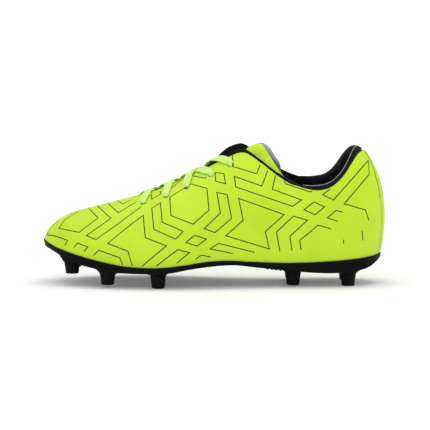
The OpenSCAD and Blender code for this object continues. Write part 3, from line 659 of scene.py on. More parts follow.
# ------------------------------------------------------ printed line figure
# Corner points [station, share of the panel height] of the thin line figure
LINES = [
    (1, [(5.38, .700), (6.20, .757), (6.75, .633), (6.72, .440), (6.12, .367), (5.40, .503)]),
    (1, [(5.03, .677), (4.72, .640), (4.82, .413), (5.53, .280), (5.78, .330), (5.10, .463)]),
    (1, [(7.10, .563), (7.50, .520), (7.53, .340), (6.83, .257), (6.48, .307), (7.12, .393)]),
    (1, [(7.17, .760), (7.53, .707), (7.52, .610), (7.13, .667)]),
    (1, [(6.15, .273), (6.52, .220), (6.20, .180), (5.85, .230)]),
    (0, [(4.17, .050), (4.02, .217), (3.32, .297), (3.95, .490), (4.42, .583), (4.55, .347), (5.23, .237), (4.48, .050)]),
    (0, [(2.05, .995), (3.20, .610), (2.47, .373), (2.88, .333), (3.60, .543), (4.30, .697)]),
    (0, [(2.72, .995), (3.45, .677), (4.10, .800)]),
    (0, [(3.22, .985), (3.53, .823), (3.85, .870)]),
    (0, [(1.35, .995), (2.62, .637), (2.12, .410), (1.02, .445), (0.85, .640), (1.02, .87)]),
    (0, [(0.45, .60), (0.28, .46), (0.42, .245), (1.0, .285), (1.82, .262), (1.78, .165)]),
    (0, [(2.17, .163), (2.25, .250), (2.67, .217), (2.57, .140)]),
    (0, [(2.92, .113), (3.07, .200), (3.77, .137), (3.88, .050)]),
    (0, [(4.67, .847), (4.70, .763), (5.03, .800), (5.03, .857)]),
    (0, [(5.40, .875), (5.42, .827), (5.87, .893)]),
    (0, [(6.32, .895), (6.27, .875), (6.73, .750), (6.82, .747)]),
    (0, [(8.10, .875), (8.00, .740), (9.25, .627), (9.60, .703)]),
    (0, [(10.03, .693), (9.42, .537), (7.98, .647), (7.95, .560), (11.12, .617), (11.62, .797), (10.08, .553), (10.48, .755)]),
    (0, [(10.92, .850), (10.98, .835), (12.02, .950), (12.12, .965)]),
    (1, [(7.98, .473), (10.52, .420), (9.15, .237), (9.28, .120), (7.22, .220), (8.03, .317)]),
    (1, [(12.14, .830), (12.55, .770), (12.08, .657), (11.65, .677)]),
    (0, [(13.24, .637), (12.99, .693), (12.58, .623), (12.95, .550)]),
    (0, [(9.93, .107), (9.85, .243), (11.05, .497), (11.70, .550), (10.63, .253), (10.65, .127)]),
    (0, [(11.12, .157), (11.12, .253), (12.12, .517), (12.63, .467)]),
    (0, [(12.90, .975), (12.53, .930), (12.96, .830), (15.44, .90), (15.00, .790), (13.38, .720), (14.26, .523), (14.37, .403)]),
    (0, [(13.95, .333), (13.97, .223)]),
    (0, [(13.07, .297), (13.05, .243)]),
    (0, [(15.75, .277), (15.27, .167)]),
    (0, [(8.43, .090), (6.93, .170), (6.62, .137), (7.43, .083)]),
    (0, [(6.12, .067), (6.32, .097), (6.63, .070)]),
    (0, [(4.92, .050), (5.58, .183), (5.95, .137), (5.53, .057)]),
]


def side_view(s, t):
    P = face(UPPER, s, t)
    return np.stack([P[..., 0], P[..., 2] + 0.105 * P[..., 1]], -1)


def straight(a, b, step=1.1):
    """Stations along a line that is straight in side view, from corner a to corner b"""
    a, b = np.array(a, float), np.array(b, float)
    A, B = side_view(*a), side_view(*b)
    n = max(2, int(np.linalg.norm(B - A) / step))
    res = [a]
    g = a.copy()
    for i in range(1, n):
        k = i / n
        goal = A + (B - A) * k
        g = a + (b - a) * k if i == 1 else g + (b - a) / n
        ok = False
        for _ in range(12):
            e = 1e-3
            f0 = side_view(g[0], g[1])
            J = np.stack([(side_view(g[0] + e, g[1]) - f0) / e, (side_view(g[0], g[1] + e) - f0) / e], 1)
            if abs(np.linalg.det(J)) < 1e-2:
                break
            stp = np.linalg.solve(J, goal - f0)
            g = g + np.clip(stp, -0.4, 0.4)
            g = np.array([np.clip(g[0], 0.02, 15.9), np.clip(g[1], 0.03, 0.995)])
            if np.linalg.norm(stp * [20, 80]) < 1e-3:
                ok = True
                break
        lin_ = a + (b - a) * k
        if not ok or np.linalg.norm((g - lin_) * [22, 90]) > 12:
            g = lin_.copy()
        res.append(g.copy())
    return res


def ribbon(paths, name, material, width=0.88, proud=0.07, side=-1):
    V, F = [], []
    for closed, pts in paths:
        P = unit_n = None
        st = np.array(pts)
        s, t = half(side, st[:, 0]), st[:, 1]
        P = skin(s, t, np.zeros(len(s)))
        N = out(UPPER, s, t)
        n = len(P)
        prev = np.roll(P, 1, 0) if closed else np.concatenate([P[:1], P[:-1]])
        nxt = np.roll(P, -1, 0) if closed else np.concatenate([P[1:], P[-1:]])
        d0, d1 = unit(P - prev), unit(nxt - P)
        if not closed:
            d0[0], d1[-1] = d1[0], d0[-1]
        s0, s1 = unit(np.cross(N, d0)), unit(np.cross(N, d1))
        m = unit(s0 + s1)
        c = np.clip(np.sum(m * s0, -1, keepdims=True), 0.42, 1)
        Sd = m / c * width / 2
        sec = [(-1, 0.22), (-1, -proud * 0.5), (-0.72, -proud), (0.72, -proud), (1, -proud * 0.5), (1, 0.22)]
        base, k = len(V), len(sec)
        for i in range(n):
            for a_, d_ in sec:
                V.append(P[i] + Sd[i] * a_ - N[i] * d_)
        for i in range(n if closed else n - 1):
            j = (i + 1) % n
            for q in range(k):
                r = (q + 1) % k
                F.append((base + i * k + q, base + i * k + r, base + j * k + r, base + j * k + q))
        if not closed:
            F.append(tuple(base + q for q in reversed(range(k))))
            F.append(tuple(base + (n - 1) * k + q for q in range(k)))
    o = build(name, np.array(V), F, [material], angle=None)
    weld(o, dist=1e-7, angle=None)
    for f in o.data.polygons:
        f.use_smooth = True
    return o


def line_paths():
    res = []
    for closed, c in LINES:
        pts = []
        n = len(c)
        for i in range(n if closed else n - 1):
            pts += straight(c[i], c[(i + 1) % n])
        if not closed:
            pts.append(np.array(c[-1], float))
        res.append((closed, pts))
    return res


PATHS = line_paths()
keep(ribbon(PATHS, "lateral_lines", INK, side=-1))
keep(ribbon(PATHS, "medial_lines", INK, side=1))


# ------------------------------------------------------------------ stitches
def stitches(name, P, N, material, length=2.1, gap_=1.0, width=0.55, high=0.32, sink_=0.12):
    """A row of thread loops along the points P with normals N"""
    d = np.concatenate([[0], np.cumsum(np.linalg.norm(np.diff(P, axis=0), axis=1))])
    n = int(d[-1] // (length + gap_))
    V, F, UV = [], [], []
    for i in range(n):
        c = (i + 0.5) * d[-1] / n
        at_ = lambda q: np.array([np.interp(q, d, P[:, j]) for j in range(3)])
        nn = unit(np.array([np.interp(c, d, N[:, j]) for j in range(3)]))
        a, b = at_(c - length / 2), at_(c + length / 2)
        t = unit(b - a)
        sd = np.cross(nn, t)
        base = len(V)
        rings = [(-1.0, 0.25), (-0.86, 0.72), (-0.4, 1.0), (0.4, 1.0), (0.86, 0.72), (1.0, 0.25)]
        for u, r in rings:
            mid = (a + b) / 2 + t * u * length / 2 + nn * (high * (1 - 0.55 * abs(u) ** 3) - sink_ - high / 2)
            for j in range(8):
                an = j * math.pi / 4
                V.append(mid + sd * math.cos(an) * width / 2 * r + nn * math.sin(an) * high / 2 * r)
                UV.append((i * 3.0 + u, j * 0.22))
        m = len(rings)
        for k in range(m - 1):
            for j in range(8):
                F.append((base + k * 8 + j, base + k * 8 + (j + 1) % 8, base + (k + 1) * 8 + (j + 1) % 8, base + (k + 1) * 8 + j))
        F.append(tuple(base + j for j in reversed(range(8))))
        F.append(tuple(base + (m - 1) * 8 + j for j in range(8)))
    o = build(name, np.array(V), F, [material], None, np.array(UV), None)
    weld(o, dist=1e-8, angle=60)
    return o


def tube(name, P, r, material, sides_n=10):
    """A thin round cord along the points P"""
    T = unit(np.gradient(P, axis=0))
    d = np.concatenate([[0], np.cumsum(np.linalg.norm(np.diff(P, axis=0), axis=1))])
    A = unit(np.cross(T, np.broadcast_to([0.0, 0.0, 1.0], T.shape)))
    B = np.cross(T, A)
    V, UV = [], []
    for i in range(len(P)):
        k = r * min(1.0, 0.35 + min(i, len(P) - 1 - i) * 0.4)
        for j in range(sides_n):
            an = j * 2 * math.pi / sides_n
            V.append(P[i] + k * (math.cos(an) * A[i] + math.sin(an) * B[i]))
            UV.append((d[i], an * r))
    n, m = sides_n, len(P)
    F = [(i * n + j, i * n + (j + 1) % n, (i + 1) * n + (j + 1) % n, (i + 1) * n + j) for i in range(m - 1) for j in range(n)]
    F += [tuple(reversed(range(n))), tuple((m - 1) * n + j for j in range(n))]
    o = build(name, np.array(V), F, [material], None, np.array(UV), None)
    weld(o, dist=1e-8, angle=70)
    return o


# ------------------------------------------------------------------ backstay
def back_w(t):
    return soft_look(t, [[0, 0.75], [0.6, 0.64], [0.79, 0.55], [0.9, 0.3], [1, 0.16]], 0.05)


def backstay():
    a, b = steps(34, 34.0, 0.6), steps(70, 95.0, 0.6)
    A, B = np.meshgrid(a, b, indexing="ij")
    T = 0.045 + (0.995 - 0.045) * B
    S = 16 + (2 * A - 1) * back_w(T)
    d = -0.82 + np.maximum(drop(A, 34.0, 0.9, 0.5), drop(B, 95.0, 0.9, 0.5))
    O = skin(S, T, d)
    I = skin(S, T, np.full(S.shape, -0.05))
    return shell("heel_backstay_panel", O, I, [LIME2, DARK_LINE], in_id=1, angle=50)


keep(backstay(), nodes=["heel_backstay"])
for side, nm in ((-1, "lateral"), (1, "medial")):
    T = np.linspace(0.07, 0.96, 160)
    S = 16 + side * -1 * -1 * back_w(T) * 0.90 if side > 0 else 16 - back_w(T) * 0.90
    S = 16 + (back_w(T) - 0.07) * (1 if side > 0 else -1)
    P = skin(S, T, np.full(S.shape, -0.80))
    keep(stitches(f"{nm}_backstay_stitches", P, out(UPPER, S, T), THREAD_LIME, 1.9, 0.9, 0.5, 0.3))
    # a thin dark strip along the backstay's edge: painted shadow of the edge's step
    Te = np.linspace(0.55, 0.99, 70)
    Se = 16 + (back_w(Te) + 0.012) * (1 if side > 0 else -1)
    keep(ribbon([(False, list(zip(Se if side < 0 else 32 - Se, Te)))], f"{nm}_backstay_edge_shadow_line", INK, 0.6, 0.1, side))


# --------------------------------------------------- inner layers, simple ones
def layer(name, na, nb, place, d0, d1, mats, La=100.0, Lb=50.0, side=-1, punch_side=None):
    a, b = steps(na, La, 0.5), steps(nb, Lb, 0.5)
    A, B = np.meshgrid(a, b, indexing="ij")
    S, T = place(A, B)
    k = np.maximum(drop(A, La, 0.5, 0.12), drop(B, Lb, 0.5, 0.12))
    o = shell(name, at(UPPER, S, T, d0 + k), at(UPPER, S, T, d1 - k), mats, angle=50)
    return o


A_ = lambda lo, hi, k: lo + (hi - lo) * k
keep(layer("toe_puff_sheet", 70, 26, lambda a, b: (A_(-3.1, 3.1, a), A_(0.04, 0.72 - 0.5 * (2 * a - 1) ** 4, b)),
           IN_MID, IN_MID + 0.65, [STIFF], 120, 40), nodes=["toe_puff"])
keep(layer("heel_counter_sheet", 70, 26, lambda a, b: (A_(12.6, 19.4, a), A_(0.03, 0.54 - 0.3 * (2 * a - 1) ** 4, b)),
           IN_MID, IN_MID + 0.65, [STIFF], 130, 45), nodes=["heel_counter"])
for side, nm in ((-1, "lateral"), (1, "medial")):
    def tape(a, b, side=side):
        s = A_(4.12, 8.75, a if side < 0 else 1 - a)
        return half(side, s), edge(s) - 0.004 - 0.185 * (1 - b)
    keep(punch(layer(nm + "_eyestay_strip", 80, 14, tape, IN_MID, IN_MID + 0.5, [TAPE], 110, 18), side),
         nodes=[nm + "_eyestay_tape"])

# Linings
def vamp_lining():
    A, S, T = vamp_grid(44, 30, 0.018, 0, False)
    O, I = at(UPPER, S, T, np.full(S.shape, IN_LIN)), at(UPPER, S, T, np.full(S.shape, IN_FOOT))
    m = S.shape[0] // 2
    for G in (O, I):
        G[m + 1:, -1] = G[:m, -1][::-1]
    return shell("vamp_lining_textile", O, I, [DARK_LINE], zipped=True, angle=50)


keep(vamp_lining(), nodes=["vamp_lining"])
for side, nm in ((-1, "lateral"), (1, "medial")):
    A, B, S, T = quarter_grid(side, 80, 34, 11.58, 0.018)
    k = np.maximum(drop(A, 190.0, 0.5, 0.1), drop(B, 85.0, 0.5, 0.1))
    o = shell(nm + "_lining_textile", at(UPPER, S, T, IN_LIN + k), at(UPPER, S, T, IN_FOOT - k), [DARK_LINE], angle=50)
    keep(punch(o, side), nodes=[nm + "_lining"])


# ------------------------------------------------------------------ collar
LIN_O = [[0, 2.25], [.28, 2.25], [.5, 2.3], [.62, 3.0], [.74, 4.8], [.86, 6.0], [.95, 6.2], [1.012, 5.6], [1.042, 4.2],
         [1.05, 2.9], [1.041, 1.7], [1.015, .95]]
LIN_I = [[0, 2.9], [.28, 2.9], [.5, 3.0], [.6, 3.7], [.73, 5.6], [.86, 6.8], [.955, 7.0], [1.024, 6.2], [1.058, 4.6],
         [1.067, 2.9], [1.054, 1.0], [1.015, .15]]
FOAM_O = [[.62, 1.35], [.74, 1.35], [.86, 1.35], [.95, 1.35], [1.004, 1.5], [1.03, 2.0]]
FOAM_I = [[.62, 2.65], [.74, 4.45], [.86, 5.65], [.95, 5.85], [1.004, 5.25], [1.032, 4.0]]


def spline(P, n):
    """Catmull-Rom through rows of P, n steps a span"""
    P = np.asarray(P, float)
    E = np.concatenate([[2 * P[0] - P[1]], P, [2 * P[-1] - P[-2]]])
    res = []
    for i in range(len(P) - 1):
        p0, p1, p2, p3 = E[i:i + 4]
        for k in range(n):
            f = k / n
            res.append(0.5 * (2 * p1 + (p2 - p0) * f + (2 * p0 - 5 * p1 + 4 * p2 - p3) * f * f + (3 * p1 - p0 - 3 * p2 + p3) * f ** 3))
    res.append(P[-1])
    return np.array(res)


def pad(s):
    return smooth(11.5, 12.6, 16 - np.abs(s - 16))


def collar_point(s, p, thin, grow=0.0):
    """p: rows of [t, depth]; s: stations"""
    S, T = np.meshgrid(s, p[:, 0], indexing="ij")
    D = np.broadcast_to(p[:, 1], S.shape)
    T1 = np.where(T > 1, 1 + (T - 1) * (0.5 + 0.5 * smooth(11.5, 12.5, fold(S))), T)
    K = np.where(T <= 0.5, T, T1 + (edge(S) - 1) * smooth(0.5, 0.9, T))
    swell = np.maximum(0, D - thin)
    D = D + swell * (0.75 * smooth(3.4, 2.0, np.abs(S - 16)) - 0.62 * (1 - pad(S))) + grow
    return at(UPPER, S, K, D), S, K


def puff(S, T):
    """Soft quilting of the padded collar: it sags a little between its ends"""
    return 0.25 * np.sin(S * 2.3 + 0.5) * smooth(0.6, 0.85, T) + 0.12 * np.sin(S * 6.1 + T * 9)


sc = np.linspace(11.52, 20.48, 200)
po, pi_ = spline(LIN_O, 4), spline(LIN_I, 4)
O, So, To = collar_point(sc, po, 2.9)
I, Si, Ti = collar_point(sc, pi_, 2.9)
n_in = out(UPPER, Si, np.minimum(Ti, 0.999))
I = I - (puff(Si, Ti) * smooth(0.55, 0.7, Ti) * smooth(1.04, 1.0, Ti))[..., None] * n_in * 0.8
collar = keep(shell("collar_lining", O, I, [BLACK_LINE], angle=60), nodes=["heel_lining"])
sf = np.linspace(11.62 + 8.76 / 34, 20.38 - 8.76 / 34, 120)
FO, _, _ = collar_point(sf, spline(FOAM_O, 4), 2.5)
FI, _, _ = collar_point(sf, spline(FOAM_I, 4), 2.5)
foam = keep(shell("collar_padding", FO, FI, [FOAM], angle=60), nodes=["collar_foam"])
# a light grey cord along the roll of the collar: partly a stitch line, partly a painted highlight on the roll's top
# edge
ss_ = np.linspace(11.72, 20.28, 420)
P, S_, T_ = collar_point(ss_, np.array([[1.0655, 1.9]]), 2.9)
keep(tube("collar_top_stitch_highlight", P[:, 0], 0.36, THREAD_GREY))


# ------------------------------------------------------------------ bindings
def bind_h(s):
    """Height of the bound edge in millimetres"""
    return look(s, [[6.4, 0.5], [6.7, 2.0], [7.0, 2.9], [7.4, 3.4], [8.0, 4.2], [8.6, 4.1], [9.0, 3.8], [9.4, 3.75], [10.2, 3.8], [10.8, 3.7], [11.2, 3.3], [11.5, 2.2], [11.72, 0.9]])


def binding(side, s0, s1, name):
    sec = spline([[0.002, -0.20], [0.45, -0.42], [0.8, -0.1], [1.0, 0.7], [1.06, 1.45], [0.98, 2.2], [0.75, 2.85], [0.4, 3.2], [0.002, 3.1]], 3)
    inn = spline([[0.002, 0.2], [0.002, 0.5], [0.002, 0.8], [0.002, 1.1], [0.002, 1.4], [0.002, 1.7], [0.002, 2.0], [0.002, 2.3], [0.002, 2.6]], 3)
    a = np.linspace(0, 1, 190)
    s = s0 + (s1 - s0) * (a if side < 0 else 1 - a)
    e = 0.01
    hgt = np.linalg.norm(face(UPPER, half(side, s), edge(s) + e) - face(UPPER, half(side, s), edge(s)), axis=-1) / e
    dip = (1.3 * smooth(8.5, 10.3, s) * (1 - smooth(11.2, 11.7, s)) / hgt)[:, None]
    G = []
    for q in (sec, inn):
        S = np.repeat(half(side, s)[:, None], len(q), 1)
        h = (bind_h(s) * (1 + (0.35 * smooth(7.0, 7.8, s) * (1 - smooth(9.2, 9.8, s)) if side > 0 else 0)) / hgt)[:, None]
        T = np.where(q[None, :, 0] > 0.1, edge(s)[:, None] + 0.004 + q[None, :, 0] * h, edge(s)[:, None] + 0.006) - dip
        along_ = a if side < 0 else 1 - a
        taper = (smooth(0, 0.03, along_) * smooth(1.0, 0.9, along_))[:, None]
        D = 1.4 + (q[None, :, 1] - 1.4) * (0.55 + 0.45 * taper)
        T0 = np.broadcast_to(edge(s)[:, None] + 0.006 - dip, S.shape)
        D = np.broadcast_to(D, S.shape)
        flat = at(UPPER, S, np.minimum(T, T0), D)
        along = at(UPPER, S, T, D) - flat
        size = np.linalg.norm(along, axis=-1, keepdims=True)
        way = unit(along * 0.55 + size * np.array([0, 0, 0.45 + 0.001]))
        m_ = (smooth(6.4, 7.2, s) * (1 - smooth(8.5, 10.3, s)))[:, None, None]
        G.append(flat + along * (1 - m_) + way * size * m_)
    return shell(name, G[0], G[1], [BLACK_TAPE], angle=60)


keep(binding(-1, 6.5, 11.72, "lateral_edge_binding"), nodes=["lateral_binding"])
keep(binding(1, 7.0, 11.72, "medial_edge_binding"), nodes=["medial_binding"])


# ------------------------------------------------------------------ tongue
def sink(s, w):
    crown = 1.1 * np.exp(-((s - 9.4) / 0.32) ** 2) * (1 - smooth(0.12, 0.3, np.abs(1 - w)))
    return 3.2 + 3.1 * smooth(3.6, 4.4, s) - 4.7 * smooth(8.3, 9.4, s) * smooth(0.76, 0.93, np.minimum(w, 2 - w)) + crown


def wing(s):
    tip = soft_look(s, [[8.9, .765], [9, .765], [9.6, .725], [10.1, .69], [10.9, .615]], 0.1)
    return 0.46 + (tip - 0.46) * smooth(8.35, 9.02, s)


def tongue():
    nb, n1, n2 = 56, 46, 26
    b = steps(nb, 70.0, 0.8)
    c1 = np.linspace(0, 1, n1 + 1)
    c2 = steps(n2, 22.0, 0.8)[1:]
    c2 = np.concatenate([np.linspace(0, 1, n2 + 1)[1:-1], [0.965, 0.99, 1.0]])
    B = b[None, :]
    q1 = np.abs(2 * b - 1)
    s1 = 9.55 + 1.6 * (q1 * q1 + 0.02) ** 0.5 + 0.40 * smooth(0.5, 0.72, b) * (1 - 0.5 * smooth(0.88, 1.0, b)) - 0.38 * smooth(0.8, 1.0, b)
    S = np.concatenate([3.62 + (9.0 - 3.62) * c1[:, None] + 0 * B, 9.0 + (s1[None, :] - 9.0) * c2[:, None]])
    lo = wing(S)
    W = lo + (2 - 2 * lo) * B
    m = 0.35 + 0.65 * smooth(0, 0.14, np.minimum(W, 2 - W) - lo)
    aa = np.arange(S.shape[0])[:, None] / (S.shape[0] - 1)
    # rounded end and rounded sides
    end = np.concatenate([np.zeros(n1 + 1), np.interp(c2, [0, 0.93, 0.965, 0.99, 1.0], [0, 0, 0.1, 0.3, 0.75])])[:, None]
    sidek = drop(B, 70.0, 0.9, 0.5) + 0 * S
    foam_t = 3.0 * m
    D0 = sink(S, W)
    fine = 0.10 * np.sin(W * 31) * smooth(8.2, 9.2, S)
    O = over(TONGUE, S, W, D0 + end * 0.9 + sidek + fine)
    mid = over(TONGUE, S, W, D0 + 1.0 + foam_t * 0.5)
    I = over(TONGUE, S, W, D0 + 1.9 + foam_t - end * 1.0 - sidek)
    # outer face, then a rounded wall of three rings, then the lining
    def ids_fn(ids, C, R, n):
        return ids
    C, R = S.shape
    V = np.concatenate([O.reshape(-1, 3), I.reshape(-1, 3)])
    idx = lambda c, r, k: k * C * R + c * R + r
    c = np.arange(C - 1)[:, None]
    r = np.arange(R - 1)[None]
    q = lambda *p: np.stack([x.ravel() for x in np.broadcast_arrays(*p)], 1)
    top = q(idx(c, r, 0), idx(c, r + 1, 0), idx(c + 1, r + 1, 0), idx(c + 1, r, 0))
    bot = q(idx(c, r, 1), idx(c + 1, r, 1), idx(c + 1, r + 1, 1), idx(c, r + 1, 1))
    # perimeter loop
    loop = [(cc, 0) for cc in range(C - 1)] + [(C - 1, rr) for rr in range(R - 1)] + [(cc, R - 1) for cc in range(C - 1, 0, -1)] + [(0, rr) for rr in range(R - 1, 0, -1)]
    L = len(loop)
    Pm = np.array([mid[x, y] for x, y in loop])
    cen = np.array([O[x, y] for x, y in loop])
    # bulge the wall outward, away from the neighbours inside
    inward = []
    for x, y in loop:
        xi = min(max(x, 2), C - 3)
        yi = min(max(y, 2), R - 3)
        inward.append(mid[x, y] - mid[xi, yi])
    bulge = unit(np.array(inward))
    rings = [0.18, 0.36, 0.64, 0.82]
    amp = [0.5, 0.8, 0.8, 0.5]
    base = len(V)
    Ring = []
    for f, a_ in zip(rings, amp):
        Ring.append(np.array([O[x, y] * (1 - f) + I[x, y] * f for x, y in loop]) + bulge * a_)
    V = np.concatenate([V] + Ring)
    uvO = grid_uv(O).reshape(-1, 2)
    uvR = np.stack([np.arange(L) * 1.3, np.zeros(L)], 1)
    UV = np.concatenate([uvO, uvO] + [uvR + [0, 1.1 * (i + 1)] for i in range(len(rings))])
    W_, wid = [], []
    ordr = [lambda i: loop[i][0] * R + loop[i][1]] + [(lambda i, k=k: base + k * L + i) for k in range(len(rings))] + [lambda i: C * R + loop[i][0] * R + loop[i][1]]
    for k in range(len(ordr) - 1):
        for i in range(L):
            j = (i + 1) % L
            W_.append((ordr[k](i), ordr[k](j), ordr[k + 1](j), ordr[k + 1](i)))
            wid.append(1 if k == 0 else 2)
    F = np.concatenate([top, bot, np.array(W_)])
    ids = np.concatenate([np.zeros(len(top), int), np.full(len(bot), 2), np.array(wid)])
    o = build("tongue_padded", V, F, [LIME_T, EDGE_GREY, GREY_LINE], ids, UV, None)
    weld(o, dist=1e-8, angle=75)
    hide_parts("tongue_face", "tongue_foam", "tongue_lining", "tongue_face_tip", "tongue_foam_tip", "tongue_lining_tip")
    p = face(TONGUE, 9.0, 1.0)
    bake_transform(o)
    pieces.append(o)
    return o, S, W


tng, TS, TW = tongue()


# ------------------------------------------------------------------ lace
def hole_in(side, k):
    return HOLES_L[k] if side < 0 else [HOLES_M[k][0], 2 - HOLES_M[k][1]]


def pass_(side, k, up):
    h, v = hole_in(side, k), (0.03 if side < 0 else -0.03)
    r = [[h[0], h[1] + v, 3.75, 5], [h[0], h[1], 1.3, 4.2], [h[0], h[1] + v, -0.95, 5]]
    return r if up else r[::-1]


def strand(lst, s0, s1):
    return [[s0 + (s1 - s0) * p[0], p[1], p[2], p[3]] for p in lst]


OVER_UNDER = [[.12, .85, -1.05, 6.6], [.25, .93, -1.25, 6.4], [.42, .97, -1.2, 5.8], [.62, 1.0, -.9, 5.6], [.8, 1.035, .7, 5.4],
              [.92, 1.085, 3.95, 5.4], [.97, 1.17, 3.9, 5.8]]
UNDER_NEAR = [[.1, 1.15, -1.05, 6.6], [.18, 1.07, -1.15, 6.4], [.25, 1.035, -.4, 5.6], [.42, 1.0, 1.5, 5.4], [.6, .97, 2.7, 5.4],
              [.8, .92, 3.95, 5.4], [.93, .84, 3.9, 5.8]]
OVER_LOW = [[.1, 1.15, -1.05, 6.6], [.2, 1.07, -1.15, 6.4], [.28, 1.035, -.6, 5.6], [.36, 1.0, .4, 5.4], [.45, .97, .5, 5.4],
            [.57, .94, -.4, 5.6], [.7, .9, -1.25, 6.4], [.86, .83, -1.05, 6.6]]
OVER_HIGH = [[.12, 1.15, -1.05, 6.6], [.26, 1.07, -1.2, 6.6], [.4, 1.0, -1.1, 6.6], [.56, .93, -1.25, 6.6], [.72, .88, -1.2, 6.6],
             [.88, .82, -1.05, 6.4]]
run = lambda s0, s1, w, d, n: [[s0 + (s1 - s0) * k / n, w, d, 6.2] for k in range(n + 1)]
turn = lambda s, dr, w, d: [[s + .16 * dr, w - .02, d, 6.2], [s + .22 * dr, w - .055, d, 6.2], [s + .16 * dr, w - .09, d, 6.2]]
flip = lambda l: l[::-1]
A_IN, B_IN = 3.85, 5.15
ROUTE = (
    flip([[7.92, .725, A_IN, 5.4], [7.75, .675, A_IN, 6.2]] + run(7.4, 4.9, .635, A_IN, 3) + turn(4.9, -1, .635, A_IN)
         + run(4.9, 8.2, .525, A_IN, 4) + turn(8.2, 1, .525, A_IN) + run(8.2, 5.75, .415, A_IN, 3))
    + [p for p in pass_(-1, 4, True) if p[2] < 3]
    + flip(strand(OVER_HIGH, HOLES_M[3][0], HOLES_L[4][0])) + pass_(1, 3, False)
    + flip(strand(OVER_UNDER, HOLES_L[2][0], HOLES_M[3][0])) + pass_(-1, 2, False)
    + flip(strand(UNDER_NEAR, HOLES_M[1][0], HOLES_L[2][0])) + pass_(1, 1, False)
    + flip(strand(OVER_UNDER, HOLES_L[0][0], HOLES_M[1][0])) + pass_(-1, 0, False)
    + [[4.35, .85, 3.95, 6], [4.31, 1.0, 4.0, 6], [4.28, 1.15, 3.95, 6]] + pass_(1, 0, True)
    + strand(UNDER_NEAR, HOLES_M[0][0], HOLES_L[1][0]) + pass_(-1, 1, True)
    + strand(OVER_UNDER, HOLES_L[1][0], HOLES_M[2][0]) + pass_(1, 2, True)
    + strand(OVER_LOW, HOLES_M[2][0], HOLES_L[3][0]) + [p for p in pass_(-1, 3, False) if p[2] < 3]
    + [[6.98, .735, 3.8, 4.6], [6.93, .7, 5.05, 5.2]] + run(6.75, 4.9, .635, B_IN, 2) + turn(4.9, -1, .635, B_IN)
    + run(4.9, 8.2, .525, B_IN, 4) + turn(8.2, 1, .525, B_IN) + run(8.2, 6.6, .415, B_IN, 2))


def band(name, R, thick, sub, material, sides_n=14, out_grow=0.25, jitter=0.0):
    R = np.array(R, float)
    keep_ = [0]
    pts = over(UPPER, R[:, 0], R[:, 1], R[:, 2])
    for i in range(1, len(R)):
        if np.linalg.norm(pts[i] - pts[keep_[-1]]) > 0.4:
            keep_.append(i)
    R = R[keep_]
    Q = spline(R, sub)
    P = over(UPPER, Q[:, 0], Q[:, 1], Q[:, 2])
    N = over_out(UPPER, Q[:, 0], Q[:, 1])
    # even the rings out
    d = np.concatenate([[0], np.cumsum(np.linalg.norm(np.diff(P, axis=0), axis=1))])
    m = int(d[-1] / 1.5)
    g = np.linspace(0, d[-1], m)
    P = np.stack([np.interp(g, d, P[:, j]) for j in range(3)], 1)
    N = unit(np.stack([np.interp(g, d, N[:, j]) for j in range(3)], 1))
    Wd = np.interp(g, d, Q[:, 3])
    dep = np.interp(g, d, Q[:, 2])
    for _ in range(2):
        P[1:-1] = 0.25 * P[:-2] + 0.5 * P[1:-1] + 0.25 * P[2:]
        N = unit(np.concatenate([N[:1], 0.25 * N[:-2] + 0.5 * N[1:-1] + 0.25 * N[2:], N[-1:]]))
    T = unit(np.gradient(P, axis=0))
    V = np.zeros_like(P)
    v = np.array([1.0, 0, 0])
    for i in range(m):
        c = np.cross(N[i], T[i])
        k = np.linalg.norm(c)
        if i == 0:
            v = c / max(k, 1e-9)
        elif k > 0.45:
            v = -c / k if c @ v < 0 else c / k
        else:
            v = unit(v - (v @ T[i]) * T[i])
        V[i] = v
    for _ in range(3):
        V = unit(np.concatenate([V[:1], 0.25 * V[:-2] + 0.5 * V[1:-1] + 0.25 * V[2:], V[-1:]]))
    U = np.cross(T, V)
    U = np.where((np.sum(U * N, -1) < 0)[:, None], -U, U)
    ang = np.arange(sides_n) * 2 * math.pi / sides_n
    cx = np.sign(np.cos(ang)) * np.abs(np.cos(ang)) ** 0.55
    cy = np.sign(np.sin(ang)) * np.abs(np.sin(ang)) ** 0.8
    outer = smooth(-0.2, -0.9, dep)
    rng = np.random.default_rng(5)
    wob = np.interp(g, np.linspace(0, d[-1], 90), rng.normal(0, 1, 90)) * 0.16
    verts, uv = [], []
    for i in range(m):
        w, h = Wd[i] + (0.9 * outer[i]) + wob[i] * outer[i], thick * (1.15 if Wd[i] < 5.1 else 1.0) + out_grow * outer[i]
        for j in range(sides_n):
            bulge = 0.16 * h * (1 - (cx[j]) ** 2) * (1 if cy[j] > 0 else -0.3)
            verts.append(P[i] + V[i] * cx[j] * w / 2 + U[i] * (cy[j] * h / 2 + bulge + out_grow * 0.5 * outer[i]))
            uv.append((g[i], cx[j] * w / 2 + (10 if cy[j] < -1e-6 else 0)))
    n = sides_n
    F = [(i * n + j, i * n + (j + 1) % n, (i + 1) * n + (j + 1) % n, (i + 1) * n + j) for i in range(m - 1) for j in range(n)]
    F += [tuple(reversed(range(n))), tuple((m - 1) * n + j for j in range(n))]
    o = build(name, np.array(verts), F, [material], None, np.array(uv), None)
    weld(o, dist=1e-8, angle=70)
    return o, d[-1]


lace, LACE_MM = band("lace_band", ROUTE, 1.1, 8, LACE)
keep(lace, nodes=["lace"])
ag1, _ = band("aglet_a", [[s, .415, A_IN, 3.4] for s in (5.74, 5.4, 5.1, 4.85)], 1.0, 10, CLEAR, out_grow=0.0)
ag2, _ = band("aglet_b", [[s, .415, B_IN + .2, 3.4] for s in (6.59, 6.3, 6.05, 5.8)], 0.9, 10, CLEAR, out_grow=0.0)
keep(ag1, nodes=["aglets"])
keep(ag2, nodes=["aglets"])


